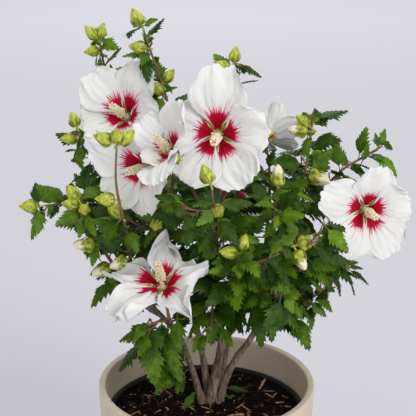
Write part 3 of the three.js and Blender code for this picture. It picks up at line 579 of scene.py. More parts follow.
def petal_material():
    """White petals with a crimson heart that runs out in feathered streaks, laid by the petals' own map."""
    material, shader, node, link = blank(
        "petal_white", **{"Subsurface Weight": 0.06, "Subsurface Radius": (0.003, 0.003, 0.003),
                          "Specular IOR Level": 0.12})
    laid = node("UVMap")
    laid.uv_map = PETAL_MAP
    across, along, _ = node("SeparateXYZ", Vector=laid.outputs["UV"]).outputs

    def figure(operation, *values):
        made = node("Math", **{f"_{k}": value for k, value in enumerate(values)})
        made.operation = operation
        return made.outputs["Value"]

    def streaks(fineness, reach, detail):
        stretched = node("CombineXYZ", X=figure("MULTIPLY", across, fineness),
                         Y=figure("MULTIPLY", along, reach))
        return node("TexNoise", Vector=stretched.outputs["Vector"], Scale=1.0, Detail=detail)

    petal = figure("FRACT", figure("MULTIPLY", across, PETAL_COUNT))
    off_centre = figure("ABSOLUTE", figure("SUBTRACT", petal, 0.5))
    spikes = node("MapRange", Value=streaks(190.0, 2.0, 1.0).outputs["Fac"], _1=0.44, _2=0.72,
                  _3=0.0, _4=0.42)
    margin = figure("MULTIPLY", figure("POWER", off_centre, 8.0), 110.0)
    edge = figure("ADD", figure("ADD", along, margin), figure("MULTIPLY", off_centre, 0.06))
    share = figure("SUBTRACT", edge, figure("MULTIPLY", spikes.outputs["Result"], along))
    heart = [(0.015, (0.8, 0.66, 0.5)), (0.05, (0.3, 0.0, 0.008)), (0.25, (0.42, 0.0, 0.018)),
             (0.33, (0.5, 0.002, 0.05)), (0.352, (0.78, 0.3, 0.42)), (0.38, (0.74, 0.74, 0.71)),
             (1.0, (0.775, 0.775, 0.75))]
    link(ramp(node, share, heart), shader.inputs["Base Color"])
    veins = streaks(140.0, 3.0, 2.0)
    textured(node, link, shader, veins.outputs["Fac"], (0.5, 0.75), 0.8, 0.7)
    return material


def backdrop_material():
    """Pale grey floor with a painted light falloff: painted shade darkens it near the planter, and painted
    light makes it paler away from it.
    """
    material, shader, node, link = blank("backdrop_pale", **{"Specular IOR Level": 0.1})
    place = node("TexCoord").outputs["Object"]
    away = node("VectorMath", _0=place)
    away.operation = "LENGTH"
    share = node("MapRange", Value=away.outputs["Value"], _1=0.3, _2=3.5)
    # painted light falloff: painted shade near the planter, paling to painted light far from it
    painted_falloff = [(0.0, (0.66, 0.65, 0.69)), (1.0, (0.86, 0.85, 0.89))]
    link(ramp(node, share.outputs["Result"], painted_falloff), shader.inputs["Base Color"])
    grain = node("TexNoise", Vector=place, Scale=300.0)
    spread = node("MapRange", Value=grain.outputs["Fac"], _3=0.85, _4=0.95)
    link(spread.outputs["Result"], shader.inputs["Roughness"])
    return material


PETAL_MAP = "OFBake"
MATERIALS = {
    "planter": planter_material(),
    "liner": dappled("nursery_black", [(0.008, 0.009, 0.011), (0.016, 0.017, 0.02)], 14, (0.45, 0.65),
                     (1.2, 0.2)),
    "soil": dappled("soil_dark", [(0.002, 0.0015, 0.001), (0.006, 0.004, 0.0025), (0.02, 0.011, 0.006)], 3,
                    (0.85, 1.0), (1.2, 1.5), **{"Specular IOR Level": 0.1}),
    "chips_dark": dappled("chips_dark", [(0.003, 0.002, 0.0015), (0.012, 0.007, 0.0045)], 3, (0.75, 0.95),
                          (0.9, 0.5), **{"Specular IOR Level": 0.1}),
    "chips_brown": dappled("chips_brown", [(0.012, 0.006, 0.004), (0.09, 0.04, 0.02)], 3, (0.7, 0.95),
                           (0.9, 0.5), **{"Specular IOR Level": 0.2}),
    "chips_tan": dappled("chips_tan", [(0.22, 0.1, 0.04), (0.6, 0.38, 0.2)], 3, (0.7, 0.95), (0.9, 0.5)),
    "bark": dappled("bark_grey_brown", [(0.035, 0.022, 0.014), (0.22, 0.16, 0.11), (0.42, 0.34, 0.25)], 2.2,
                    (0.75, 0.95), (0.8, 0.9), (1, 1, 0.2)),
    "shoot": dappled("shoot_brown", [(0.09, 0.04, 0.02), (0.2, 0.115, 0.05), (0.22, 0.18, 0.06)], 9,
                     (0.5, 0.75), (0.7, 0.25), (1, 1, 0.4)),
    "stalk": dappled("stalk_green", [(0.1, 0.13, 0.015), (0.2, 0.22, 0.03)], 6, (0.4, 0.6), (1, 0.1)),
    "leaf_dark": dappled("leaf_dark", [(0.011, 0.036, 0.002), (0.052, 0.115, 0.006)], 7, (0.3, 0.5),
                         (1.6, 0.4), **{"Specular IOR Level": 0.2}),
    "leaf_mid": dappled("leaf_mid", [(0.036, 0.09, 0.004), (0.118, 0.214, 0.01)], 7, (0.3, 0.5),
                        (1.6, 0.4), **{"Specular IOR Level": 0.2}),
    "leaf_young": dappled("leaf_young", [(0.07, 0.15, 0.005), (0.16, 0.27, 0.013)], 7, (0.3, 0.5),
                          (1.6, 0.4), **{"Specular IOR Level": 0.16}),
    "bract": dappled("bract_green", [(0.08, 0.14, 0.01), (0.19, 0.27, 0.022)], 3, (0.4, 0.6), (0.8, 0.2)),
    "bud": dappled("bud_green", [(0.14, 0.2, 0.008), (0.39, 0.44, 0.025), (0.64, 0.64, 0.11)], 3, (0.4, 0.6),
                   (0.8, 0.25), (1, 1, 0.5)),
    "cream": dappled("cream_pollen", [(0.78, 0.68, 0.4), (0.9, 0.85, 0.66)], 2, (0.6, 0.85), (0.5, 0.3),
                     **{"Subsurface Weight": 0.1, "Subsurface Radius": (0.003, 0.002, 0.001)}),
    "petal": petal_material(),
}

# ---- Planter, liner and soil ----------


def replace_node(node, name, slot, made):
    """One shape as a piece that replaces one of the part's nodes, with the material that its slot names."""
    shape = Gather()
    shape.add(*made)
    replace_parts(shape.build(name, MATERIALS[slot], slot), node)


def planter():
    """A turned vessel with a rounded rim, a soft foot and a hollow inside."""
    height, rim, foot, wall, floor = PLANTER.height, PLANTER.rim, PLANTER.foot, PLANTER.wall, PLANTER.floor
    corners = [(0, 0), (foot, 0), (rim, height), (rim - wall, height), (foot - wall, floor), (0, floor)]
    made = turned(rounded(corners, PLANTER.edge, 7), PLANTER.sides)
    replace_node("planter", "planter_body", "planter", made)


def nursery_pot():
    """The thin black pot: its rolled lip shows above the soil."""
    rim, radius, foot, wall, lip = LINER.rim, LINER.radius, LINER.foot, LINER.wall, LINER.lip
    bottom = PLANTER.floor + GAP
    inside = bottom + LINER.floor
    neck = radius - lip + wall / 2
    corners = [(0, bottom), (foot, bottom), (neck, rim - 2 * lip), (radius, rim - 2 * lip), (radius, rim),
               (neck - wall, rim), (foot - wall, inside), (0, inside)]
    made = turned(rounded(corners, LINER.edge, 4), LINER.sides)
    replace_node("liner_pot", "nursery_pot", "liner", made)


def soil_height(x, y):
    """The soil's lumpy surface: a low crown in the middle and a dip at the pot's wall."""
    out = hypot(x, y)
    rise = SOIL.crown - 1 - (SOIL.crown - SOIL.edge) * max(out - SOIL.crown_radius, 0) / SOIL.fall
    return rise + sum(height * ripple(x / width, y / width, seed) for height, width, seed in SOIL.lumps)


def soil_bed():
    """Lumpy soil, closed by a side and a base under its surface."""
    bottom, reach = SOIL.edge - SOIL.depth, LINER.radius - LINER.lip - SOIL.clear
    radii = np.linspace(3, reach, SOIL.rings)
    rings = [level_ring(radius, bottom, SOIL.sides) for radius in (radii[0], reach)]
    for radius in radii[::-1]:
        rings.append([(x, y, soil_height(x, y)) for x, y, _ in level_ring(radius, 0, SOIL.sides)])
    replace_node("soil", "soil_bed", "soil", capped(np.array(rings), len(rings), SOIL.sides))


def chip(draw, length, width, thickness):
    """One splinter of bark: a bent, tapering bar with six sides, made along +X."""
    bend = length * 0.12 * (draw() - 0.5)
    rings = []
    for share in (-1, -0.75, 0, 0.7, 1):
        size = (1 - 0.25 * abs(share)) * (0.35 if abs(share) == 1 else 1) * (0.85 + 0.3 * draw())
        ring = []
        for side in range(6):
            angle = radians(60 * side + 20 * draw())
            ring.append((share * length / 2, cos(angle) * width / 2 * size,
                         sin(angle) * thickness / 2 * size + bend * share * share))
        rings.append(ring)
    return capped(np.array(rings), len(rings), 6)


def bark_chips(feet):
    """Chips of bark strewn over the soil, clear of the stems' feet, dealt into three browns."""
    draw = seeded(501)
    kinds = {"chips_dark": Gather(), "chips_brown": Gather(), "chips_tan": Gather()}
    reach = LINER.radius - LINER.lip - CHIPS.clear
    for _ in range(CHIPS.count):
        size = draw() ** CHIPS.rarity
        length = between(CHIPS.length, size)
        width = between(CHIPS.width, draw() * (0.45 + 0.7 * size))
        thickness = between(CHIPS.thickness, draw())
        out = (reach - length / 2) * sqrt(draw())
        bearing, heading = 2 * pi * draw(), 2 * pi * draw()
        x, y = out * cos(bearing), out * sin(bearing)
        points, faces = chip(draw, length, min(width, length * 0.6), thickness)
        tilt = 0.5 * (draw() - 0.5)
        level = cos(tilt)
        along = np.array([cos(heading) * level, sin(heading) * level, sin(tilt)])
        side, over = square_to(along)
        roll = 0.8 * (draw() - 0.5)
        across = side * cos(roll) + over * sin(roll)
        place = np.array([x, y, soil_height(x, y) + thickness * (0.1 + 0.9 * draw())])
        kind = draw() + 0.2 * size
        if any(hypot(x - foot[0], y - foot[1]) < length / 2 + CHIPS.clear for foot in feet):
            continue
        points = place + points @ np.array([along, across, np.cross(along, across)])
        name = "chips_dark" if kind < CHIPS.dark else "chips_brown" if kind < CHIPS.brown else "chips_tan"
        kinds[name].add(points, faces)
    for name, shape in kinds.items():
        shape.build(name, MATERIALS[name], "soil")


# ---- Stems and boughs ----------


def bark_relief(height, angles, radius):
    """Shallow upright furrows and small lumps, deeper on thicker wood."""
    furrows = rippled(2.8 * np.cos(angles), 2.8 * np.sin(angles), height / 10)
    lumps = rippled(1.1 * np.cos(angles), 1.1 * np.sin(angles), height / 3.5 + 40)
    return radius * (BARK.furrows * furrows + BARK.lumps * lumps)


def grow_limbs():
    """Every limb's path and radii, and their bark as one shape for stems and one for boughs."""
    limbs = {}
    shapes = {"stem": Gather(), "bough": Gather()}
    for name, start, through, (foot, tip), flare in LIMBS:
        if isinstance(start[0], str):
            first = limbs[start[0]]["path"].at(start[1])
        else:
            first = np.array([*start, SOIL.crown - 4])
        path = Path([first, *through])

        def radius_at(t, foot=foot, tip=tip, flare=flare):
            return BARK.thick * (foot + (tip - foot) * t) * (1 + flare * exp(-14 * t))

        limbs[name] = {"path": path, "radii": (foot, tip)}
        rings = max(12, int(path.length / BARK.ring))
        shapes[name.split("_")[0]].add(*tube(path, radius_at, BARK.sides, rings, bark_relief))
    for kind, shape in shapes.items():
        piece = shape.build(f"{kind}s_bark", MATERIALS["bark"], "bark")
        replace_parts(piece, *[name for name in limbs if name.startswith(kind)])
    return limbs, shapes


# ---- Buds and flowers ----------


def ribbed(profile, sides, ribs, depth, twist=0.0):
    """A closed bulb round +Z from (height, radius) pairs, with ribs that may wind round it."""
    angles = around(sides)
    rings = []
    for row, (height, radius) in enumerate(profile):
        swells = [radius * (1 + depth * cos(ribs * angle + twist * row)) for angle in angles]
        rings.append([(swell * cos(a), swell * sin(a), height) for swell, a in zip(swells, angles)])
    return capped(np.array(rings), len(rings), sides)


def blade(length, width, turn, start, lean, bow):
    """A narrow pointed blade that leans from +Z by degrees and bows by more towards its tip.

    start is its root's distance from the axis and its height, and turn is where round the axis it stands.
    """
    rows = 6
    shares = np.linspace(0, 1, rows)
    angles = np.radians(lean + bow * shares)
    step = length / (rows - 1)
    out = start[0] + step * np.cumsum(np.sin(angles))
    height = start[1] + step * np.cumsum(np.cos(angles))
    half = width / 2 * np.sin(np.pi * np.clip(0.18 + 0.82 * shares, 0, 1)) + 0.05
    turned_by = radians(turn)
    points = []
    for o, h, w in zip(out, height, half):
        for side, lift in ((-1, 0.25), (0, 0), (1, 0.25)):
            x, y = o + lift * w, side * w
            points.append((x * cos(turned_by) - y * sin(turned_by),
                           x * sin(turned_by) + y * cos(turned_by), h))
    return points, grid_faces(rows, 3)


def add_bud(shapes, place, facing, size, draw):
    """A stalk, a ribbed calyx with narrow bracts round it and, on a bud about to open, its furled petals."""
    radius, stalk, length = BUD.radius * size, BUD.stalk * size, BUD.length * size
    opening = size > BUD.opening
    roll = 2 * pi * draw()
    stem = Path([(0, 0, 0), (0, 0, stalk * 0.5), (0, 0, stalk + 1)])
    thin, thick = BUD.stalk_radius, BUD.stalk_radius * 1.6
    parts = [tube(stem, lambda t: thin + (thick - thin) * t**3, 8, 5)]
    covered = 0.68 if opening else 1.0
    calyx = [(stalk + length * covered * h, radius * (r if not opening else max(r, 0.52 * (h > 0.3))))
             for h, r in CALYX_OUTLINE]
    if opening:
        calyx = calyx[:-3]
    parts.append(ribbed(calyx, 20, PETAL_COUNT, 0.11))
    if opening:
        start = (calyx[-3][1] * 0.98, calyx[-3][0])
        parts += [blade(length * 0.36, radius * 0.8, PETAL_TURN * (k + 0.5), start, -14, -16)
                  for k in range(PETAL_COUNT)]
    put = placer(place, facing, roll)
    for part in parts:
        put(shapes["bud"], part)
    for k in range(BUD.bracts):
        reach = length * (0.34 + 0.2 * draw())
        put(shapes["bract"], blade(reach, 2.6 * size, 51.4 * k + 20 * draw(), (radius * 0.45, stalk),
                                   60 - 12 * draw(), -66))
    if opening:
        furled = [(stalk + length * h, radius * r) for h, r in FURLED_OUTLINE]
        put(shapes["cream"], ribbed(furled, 20, PETAL_COUNT, 0.12, 0.5))


def petal_width(share):
    places, widths = zip(*PETAL_OUTLINE)
    smooth = np.interp(share, places, widths)
    return (smooth + np.interp(share - 0.05, places, widths) + np.interp(share + 0.05, places, widths)) / 3


def petal(flower, k, seed):
    """One ruffled petal round +Z, by the source's arc, with the place of each point on its map.

    share runs from the petal's root to its tip, and a from one edge over its middle, 0, to the other.
    """
    share, a = np.meshgrid(np.linspace(0, 1, PETAL.rows), np.linspace(-1, 1, PETAL.columns), indexing="ij")
    start, end = np.radians(flower.open)
    bend = (end - start) * flower.bends[k]
    end = start + bend
    length = PETAL.length * flower.petals[k]
    half = PETAL.width / 2 * sin(min(end, pi / 2)) ** 1.7
    wander = rippled(2.6 * a, 0 * a, seed) * 0.07 + rippled(9 * a, 0 * a, seed + 9) * 0.06
    arc = share * (1 - PETAL.shoulder * (0.5 * a**2 + 0.6 * a**6) + wander * share)
    angle = start + bend * arc

    def waves(across, along, number, height, growth):
        """How far a pattern of waves lifts the petal, which grows towards its tip."""
        return rippled(across * a, along * share, seed + number) * height * share**growth

    at_edge = waves(3.0, 1.5, 20, 6.5, 1.8) * (0.2 + 0.8 * np.abs(a) ** 1.3)
    slow = waves(1.7, 2.3, 30, 4.0, 1)
    frills, puckers = waves(9, 4, 40, 2.4, 2.5), waves(11, 13, 60, 0.7, 1)
    ruffle = (at_edge + slow) * flower.crumple + frills + puckers
    pleats = 0.3 * np.cos(6.5 * pi * a + seed) * np.sin(pi * share**0.7)
    lift = PETAL.cup * a**2 * share + PETAL.overlap * a * share + ruffle + pleats
    outward = PETAL.root + length / bend * (cos(start) - np.cos(angle)) - np.cos(angle) * lift
    height = length / bend * (np.sin(angle) - sin(start)) + np.sin(angle) * lift
    edge = 1 + 0.05 * rippled(4 * share, 0 * share, seed + 50)
    sideways = a * half * petal_width(share) * edge * (1 - flower.points[k] * share**2.5)
    azimuth = radians(90 - flower.turn - PETAL_TURN * k)
    points = np.stack([outward * cos(azimuth) - sideways * sin(azimuth),
                       outward * sin(azimuth) + sideways * cos(azimuth), height], axis=-1)
    spots = np.stack([(k + 0.5 + 0.47 * a) / PETAL_COUNT, between((flower.pale, 1), share)], axis=-1)
    return points.reshape(-1, 3), grid_faces(PETAL.rows, PETAL.columns), spots.reshape(-1, 2)


def add_flower(name, flower, place, number, shapes, petals):
    """Five petals as one piece, and their calyx, bracts and column among the shared shapes."""
    put = placer(place, direction(flower.heading, flower.climb), pi, flower.size)
    draw = seeded(900 + number)
    shape, spots = Gather(), []
    for k in range(PETAL_COUNT):
        points, faces, laid = petal(flower, k, 7.3 * number + 1.9 * k)
        put(shape, (points, faces))
        spots.append(laid)
    petals[name] = (shape, np.vstack(spots))
    for k in range(PETAL_COUNT):
        turn = 90 - flower.turn - PETAL_TURN * k + PETAL_TURN / 2
        put(shapes["bud"], blade(19, 7.5, turn, (3.2, -3.5), flower.open[0] - 2, 16))
    for k in range(BUD.bracts):
        put(shapes["bract"], blade(9, 1.8, 51 * k + 25 * draw(), (2.6, -8), 60 + 10 * draw(), -20))
    put(shapes["bud"], ribbed(CUP_OUTLINE, 15, PETAL_COUNT, 0.08))
    top = COLUMN.length - 5
    spine = Path([(0, 0, 0), (0, 0, top / 2), (0, 0, top)])
    put(shapes["cream"], tube(spine, lambda t: COLUMN.radius * (1.5 - 0.8 * t + 0.9 * exp(-12 * t)), 12, 13))
    add_anthers(shapes["cream"], put, top, draw)


def ball(head, facing, radius, sides, depth):
    """A small round body with two lobes, its middle at head."""
    points, faces = ribbed([(h * radius, r * radius) for h, r in BALL_OUTLINE], sides, 2, depth)
    return aimed(points, head, unit(facing)), faces


def add_anthers(cream, put, top, draw):
    """Anthers on short threads round the column, and five round stigmas on threads at its tip."""
    start = COLUMN.length * COLUMN.start
    for k in range(COLUMN.anthers):
        share = (k + 0.5) / COLUMN.anthers
        turn, rise = radians(GOLDEN_TURN * k), start + (top - start) * share
        stand = (2.2 + 1.5 * draw()) * (1.1 - 0.5 * share)
        outward = np.array([cos(turn), sin(turn), 0.25 + 0.3 * draw()])
        foot = np.array([cos(turn), sin(turn), 0]) * COLUMN.radius * 0.7 + UP * rise
        head = foot + outward * stand
        put(cream, tube(Path([foot, (foot + head) / 2, head]), lambda t: 0.22, 4, 3))
        put(cream, ball(head, outward, COLUMN.anther_radius * (0.8 + 0.4 * draw()), 7, 0.2))
    for k in range(PETAL_COUNT):
        turn = radians(PETAL_TURN * k + 20)
        outward = np.array([cos(turn), sin(turn), 0])
        head = outward * 2.6 + UP * (COLUMN.length - 1.2)
        put(cream, tube(Path([UP * top, outward * 1.2 + UP * (top + 2), head]), lambda t: 0.4, 6, 5))
        put(cream, ball(head, outward + UP, COLUMN.stigma_radius, 8, 0.05))


def build_petals(name, shape, spots):
    """A flower's petals as one piece: a map lays them side by side, and a modifier makes them solid."""
    piece = shape.build(f"petals_{name}", MATERIALS["petal"], "blossom")
    laid = piece.data.uv_layers.new(name=PETAL_MAP)
    corners = np.empty(len(piece.data.loops), np.int32)
    piece.data.loops.foreach_get("vertex_index", corners)
    laid.data.foreach_set("uv", spots[corners].ravel())
    skin = piece.modifiers.new("thickness", "SOLIDIFY")
    skin.thickness = PETAL.skin * MM
    skin.offset = 0
    return piece


# ---- Leaves ----------


def leaf_grid():
    """The places of a leaf's points, as shares of its length and half width, and its faces.

    Each rib leaves the midrib at the first share and runs forward to the leaf's edge.
    """
    sides = (-1, -0.5, 0, 0.5, 1)
    places = [(mid + (out - mid) * abs(a), width * a, rib) for rib, (mid, out, width) in enumerate(LEAF_RIBS)
              for a in sides]
    faces = grid_faces(len(LEAF_RIBS), len(sides))
    tip = len(places)
    last = tip - len(sides)
    faces += [(last + k, last + k + 1, tip) for k in range(len(sides) - 1)]
    return np.array(places + [(1.0, 0.0, 0)]), faces


LEAF_GRID, LEAF_FACES = leaf_grid()


def leaf_points(leaf):
    """A blade folded along its midrib, raised between its ribs, drooping and slightly twisted."""
    t, a, rib = LEAF_GRID.T
    length, half = leaf.blade, leaf.width / 2
    x, y = a * half, t * length
    bulge = np.where(rib % 2 == 1, -1.0, 1.0) * LEAF.rib * length * (np.abs(a) > 0.01)
    wave = 0.035 * length * np.sin(7 * t + leaf.phase) * a * np.abs(a)
    z = leaf.fold * np.abs(x) - leaf.curl * x * x / half + bulge + wave - leaf.sag * length * t * t
    turn = leaf.twist * t
    x, z = x * np.cos(turn) - z * np.sin(turn), x * np.sin(turn) + z * np.cos(turn)
    axes = np.array([leaf.across, leaf.along, leaf.above])
    return leaf.base + np.stack([x, y, z], axis=-1) @ axes


def offshoot(path, share, turn, lean):
    """The direction in which something leaves a stem: round it by turn, away from it by lean, in degrees."""
    along = path.along(share)
    side, over = square_to(along)
    turn, lean = radians(turn), radians(lean)
    outward = side * cos(turn) + over * sin(turn)
    return along * cos(lean) + outward * sin(lean)


def leaf_plan(plan, slot, random, scale, root, lean):
    """A leaf by the source's rule, on its stalk, with its face turned up and out of the crown."""
    path, share, turn = slot
    along = offshoot(path, share, turn + 40 * (random() - 0.5), lean + 24 * (random() - 0.5))
    along[2] -= plan.droop * (0.6 + 0.8 * random())
    along = unit(along)
    size = plan.leaf * (0.82 + 0.36 * random()) * (1 - LEAF.young * share) * scale
    roll = 0.7 * (random() - 0.5)
    length = LEAF.length * size
    outward = np.array([root[0], root[1], 0]) / CROWN.radius
    above = UP * LEAF.sky + outward * LEAF.outward + LIGHTWARD * LEAF.light
    above = above + LEAF.stray * direction(360 * random(), 0)
    above = above - along * np.dot(above, along)
    above = unit(above) if np.linalg.norm(above) > 0.05 else square_to(along)[1]
    across = np.cross(along, above)
    c, s = cos(roll), sin(roll)
    stalk = length * LEAF.petiole
    return Sizes(
        root=root, base=root + along * stalk - UP * 0.12 * stalk, along=along, above=above * c - across * s,
        across=across * c + above * s, blade=length - stalk, width=LEAF.width * size, phase=6.3 * random(),
        fold=0.1 + 0.3 * random(), curl=0.15 + 0.3 * random(), sag=0.06 + 0.3 * random(),
        twist=0.9 * (random() - 0.5), tint=random(),
    )


class Crown:
    """Keeps the blades clear of the wood, the buds, the petals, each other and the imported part's box."""

    def __init__(self, obstacles, rooms, low, high):
        """rooms: (place, direction, radius, depth) of the rounds in front of flowers and buds."""
        points, faces, count = [], [], 0
        for shape in obstacles:
            points.append(np.vstack(shape.points))
            faces += [[corner + count for corner in face] for face in shape.faces]
            count += shape.count
        self.tree = BVHTree.FromPolygons(np.vstack(points).tolist(), faces)
        self.rooms = rooms
        self.low, self.high = low, high
        self.blades = {}

    def cells(self, place, spread):
        base = np.floor(place / CROWN.cell).astype(int)
        return [tuple(base + (i, j, k)) for i in spread for j in spread for k in spread]

    def takes(self, points, box):
        """Adds a blade if it is clear, and says whether it was."""
        if (points < np.maximum(self.low, box[0])).any() or (points > np.minimum(self.high, box[1])).any():
            return False
        low, high = CROWN.bare
        if ((points > low) & (points < high)).all(axis=1).any():
            return False
        middle = points.mean(axis=0)
        for place, facing, reach, depth in self.rooms:
            ahead = np.dot(middle - place, facing)
            if 0 < ahead < depth and np.linalg.norm(middle - place - ahead * facing) < reach:
                return False
        tree = BVHTree.FromPolygons(points.tolist(), LEAF_FACES)
        if tree.overlap(self.tree):
            return False
        for cell in self.cells(middle, (-1, 0, 1)):
            if any(tree.overlap(other) for other in self.blades.get(cell, ())):
                return False
        self.blades.setdefault(self.cells(middle, (0,))[0], []).append(tree)
        return True


# ---- The rule that every mass grows by ----------


def growth_of(plan, limbs, random):
    """The stem and side twigs of a mass, and the slots along them that leaves grow from."""
    foot = limbs[plan.limb]["path"].at(plan.share)
    stem = Path([foot, *plan.through])
    bare = plan.bare
    slots = [(stem, bare + (0.98 - bare) * (i + 0.5) / plan.leaves, plan.turn + GOLDEN_TURN * i)
             for i in range(plan.leaves)]
    twigs = []
    for i in range(plan.twigs):
        share = 0.25 + 0.7 * (i + 0.5) / plan.twigs
        away = offshoot(stem, share, plan.turn + 70 + GOLDEN_TURN * i, 58 + 20 * (random() - 0.5))
        length = plan.twig * (0.8 + 0.4 * random())
        start = stem.at(share)
        end = start + away * length + UP * length * (0.25 - 0.3 * plan.droop)
        path = Path([start, start + away * length / 2, end])
        count = max(2, round(length / TWIG.leaf_spacing))
        turns = [(path, 0.3 + 0.69 * (k + 0.6) / count, 90 + GOLDEN_TURN * (k + i)) for k in range(count)]
        twigs.append((path, turns))
    return stem, slots, twigs


def leaf_kind(plan, at_tip, height, tint):
    """Young leaves are at the tips of high shoots, and the older ones are dealt out by spray."""
    if plan.kind:
        return plan.kind
    young = tint < (0.35 if at_tip else 0.12 if plan.name in BRIGHT else 0)
    if young and height > CROWN.young_above:
        return "leaf_young"
    return "leaf_mid" if tint < (0.7 if plan.name.endswith("shoot") else 0.5) else "leaf_dark"


def grow_spur(plan, slot, random, crown, box, shapes, sizes, lean=LEAF.lean, length=SPUR.length):
    """A short spur with a few leaves: the first is as large as the source's own, and the rest are smaller."""
    path, share, turn = slot
    root = path.at(share)
    away = unit(offshoot(path, share, turn, SPUR.lean) + UP * 0.2)
    tip = root + away * between(length, random())
    grown = 0
    for k, scale in enumerate(sizes):
        for attempt in range(TRIES.count):
            turned_slot = (path, share, turn + GOLDEN_TURN * k + TRIES.turn * attempt)
            leaf = leaf_plan(plan, turned_slot, random, scale, root if k == 0 else tip, lean)
            points = leaf_points(leaf)
            if not crown.takes(points, box):
                continue
            at_tip = share > 0.85 or lean == BUD.lean
            shapes[leaf_kind(plan, at_tip, root[2], leaf.tint)].add(points, LEAF_FACES)
            middle = (leaf.root + leaf.base) / 2 + UP * 0.08 * leaf.blade * 0.2
            stalk = Path([leaf.root, middle, leaf.base + leaf.along * LEAF.sunk])
            shapes["stalk"].add(*tube(stalk, lambda t: LEAF.stalk_radius * (1.25 - 0.5 * t), 5, 5))
            grown += k > 0
            break
    if grown:
        spur = Path([root, (root + tip) / 2 - UP * 0.3, tip])
        shapes["shoot"].add(*tube(spur, lambda t: SPUR.radius - 0.3 * t, 6, 5))


def grow_masses(limbs, wood):
    """Every mass: first the stems, twigs, buds and flowers, then the leaves, which keep clear of them all."""
    names = ("shoot", "stalk", "bud", "bract", "cream", "leaf_dark", "leaf_mid", "leaf_young")
    shapes = {name: Gather() for name in names}
    petals, grown, rooms = {}, [], []
    bud_draw = seeded(700)
    for index, plan in enumerate(MASSES):
        random = seeded(index + 1)
        stem, slots, twigs = growth_of(plan, limbs, random)
        foot = min(TWIG.radius * 1.15, limbs[plan.limb]["radii"][1] * 1.3)
        shapes["shoot"].add(*tube(stem, lambda t: foot + (TWIG.tip * 0.8 - foot) * t, 10,
                                  max(8, int(stem.length / 4))))
        for path, _ in twigs:
            shapes["shoot"].add(*tube(path, lambda t: TWIG.side_radius - 0.6 * t, 8, 9))
        for share, heading, climb, size in plan.buds:
            facing = direction(heading, climb)
            add_bud(shapes, stem.at(share) - facing * BUD.sunk, facing, size, bud_draw)
            middle = stem.at(share) + facing * (BUD.stalk + BUD.length / 2) * size
            rooms.append((middle, unit(FRONT), CROWN.bud * size, CROWN.bud_depth))
        if plan.flower:
            flower = plan.flower
            add_flower(plan.name, flower, stem.at(1), index, shapes, petals)
            facing = direction(flower.heading, flower.climb)
            sideways = cos(radians(flower.climb))
            reach = CROWN.heart * flower.size * sideways
            rooms.append((stem.at(1), facing, reach, 2 * reach))
        grown.append((plan, random, stem, slots, twigs))
    obstacles = [*wood.values(), shapes["shoot"], shapes["bud"], shapes["cream"]]
    obstacles += [shape for shape, _ in petals.values()]
    low, high = (np.array(corner) / MM for corner in CAD_BOX)
    crown = Crown(obstacles, rooms, low, high)
    for plan, random, stem, slots, twigs in grown:
        box = [np.array(corner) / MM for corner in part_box(plan.name)]
        box = (box[0] - CROWN.margin, box[1] + CROWN.margin)
        sizes = SPUR.leaves if twigs else SPUR.sparse
        for slot in [slot for _, turns in twigs for slot in turns] + slots:
            grow_spur(plan, slot, random, crown, box, shapes, sizes)
        for share, heading, climb, size in plan.buds:
            facing, place = direction(heading, climb), stem.at(share)
            reach = (BUD.stalk * size - BUD.sunk) * facing
            tuft = (Path([place, place + reach / 2, place + reach]), BUD.tuft, heading + 40)
            grow_spur(plan, tuft, random, crown, box, shapes, BUD.leaves, BUD.lean, BUD.spur)
    for index, (name, share, turn, size, kind) in enumerate(SPROUTS):
        plan = Mass("sprout", name, share, (), leaf=size, droop=0.7, kind=kind)
        slot = (limbs[name]["path"], share, turn)
        grow_spur(plan, slot, seeded(600 + index), crown, (low, high), shapes, (1.0,))
    return shapes, petals


def build_masses(shapes, petals):
    """The joined pieces, each kind apart. They stand for every mass of the part."""
    slots = {"shoot": "bark", "cream": "blossom"}
    pieces = {kind: shape.build(f"{kind}_pieces", MATERIALS[kind], slots.get(kind, "foliage"))
              for kind, shape in shapes.items()}
    for plan in MASSES:
        if not plan.flower:
            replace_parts(pieces["leaf_dark"], plan.name)
    for name, (shape, spots) in petals.items():
        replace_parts(build_petals(name, shape, spots), name)


# ---- Stage, light and camera ----------


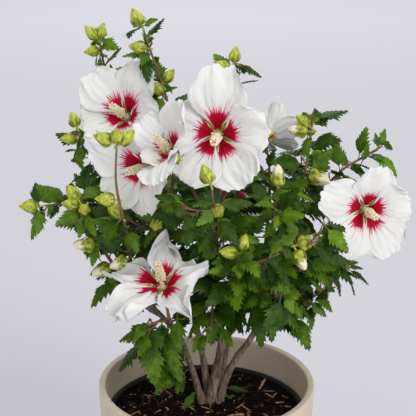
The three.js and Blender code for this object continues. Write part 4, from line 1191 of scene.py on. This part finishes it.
def stage():
    """A pale round floor that rises a little at its far edge, well behind every viewpoint."""
    profile = [(radius, 0.0) for radius in STAGE.flat]
    for step in range(1, STAGE.steps + 1):
        share = step / STAGE.steps
        profile.append((STAGE.flat[-1] + STAGE.bank * share, STAGE.rise * share**2))
    points = [(0.0, 0.0, FLOOR_LEVEL)]
    for radius, height in profile:
        points += level_ring(radius, height + FLOOR_LEVEL, STAGE.sides)
    faces = [(0, 1 + side, 1 + (side + 1) % STAGE.sides) for side in range(STAGE.sides)]
    faces += [[1 + corner for corner in reversed(face)]
              for face in grid_faces(len(profile), STAGE.sides, closed=True)]
    smooth_mesh("backdrop", points, faces, backdrop_material())


def area_light(name, place, target, size, power):
    light = bpy.data.lights.new(name, "AREA")
    light.shape = "DISK"
    light.size = size
    light.energy = power
    lamp = linked(name, light)
    lamp.location = place
    lamp.visible_camera = False
    lamp.rotation_euler = (Vector(target) - Vector(place)).to_track_quat("-Z", "Y").to_euler()


def lights():
    """Soft studio light: a broad key lamp above and to the right, a low one under it, a fill from the left,
    a lamp overhead, one over the floor behind, and a pale world."""
    for name, settings in LAMPS.items():
        area_light(name, *settings)
    world = bpy.data.worlds.new("studio")
    world.use_nodes = True
    world.node_tree.nodes["Background"].inputs["Color"].default_value = SKY.colour
    world.node_tree.nodes["Background"].inputs["Strength"].default_value = SKY.strength
    bpy.context.scene.world = world
    bpy.context.scene.view_settings.view_transform = "Standard"


def camera():
    """The photograph's viewing angle: a little above the flowers, looking down on the pot."""
    lens = bpy.data.cameras.new("camera")
    lens.sensor_width = CAMERA.sensor
    lens.lens = CAMERA.lens
    eye = linked("camera", lens)
    eye.location = CAMERA.place
    eye.rotation_euler = (radians(90 - CAMERA.down), 0, 0)
    bpy.context.scene.camera = eye


# ---- Assembly ----------

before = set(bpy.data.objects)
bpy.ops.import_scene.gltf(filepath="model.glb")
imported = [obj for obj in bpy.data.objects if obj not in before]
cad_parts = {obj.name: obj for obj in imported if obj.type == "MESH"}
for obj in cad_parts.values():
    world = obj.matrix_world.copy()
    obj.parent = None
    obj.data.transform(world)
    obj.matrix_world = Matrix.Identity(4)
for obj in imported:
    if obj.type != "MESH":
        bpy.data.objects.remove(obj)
CAD_BOX = [list(corner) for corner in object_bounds()]
camera()
planter()
nursery_pot()
soil_bed()
limb_paths, wood_shapes = grow_limbs()
bark_chips([start for _, start, *_ in LIMBS if not isinstance(start[0], str)])
build_masses(*grow_masses(limb_paths, wood_shapes))
stage()
lights()
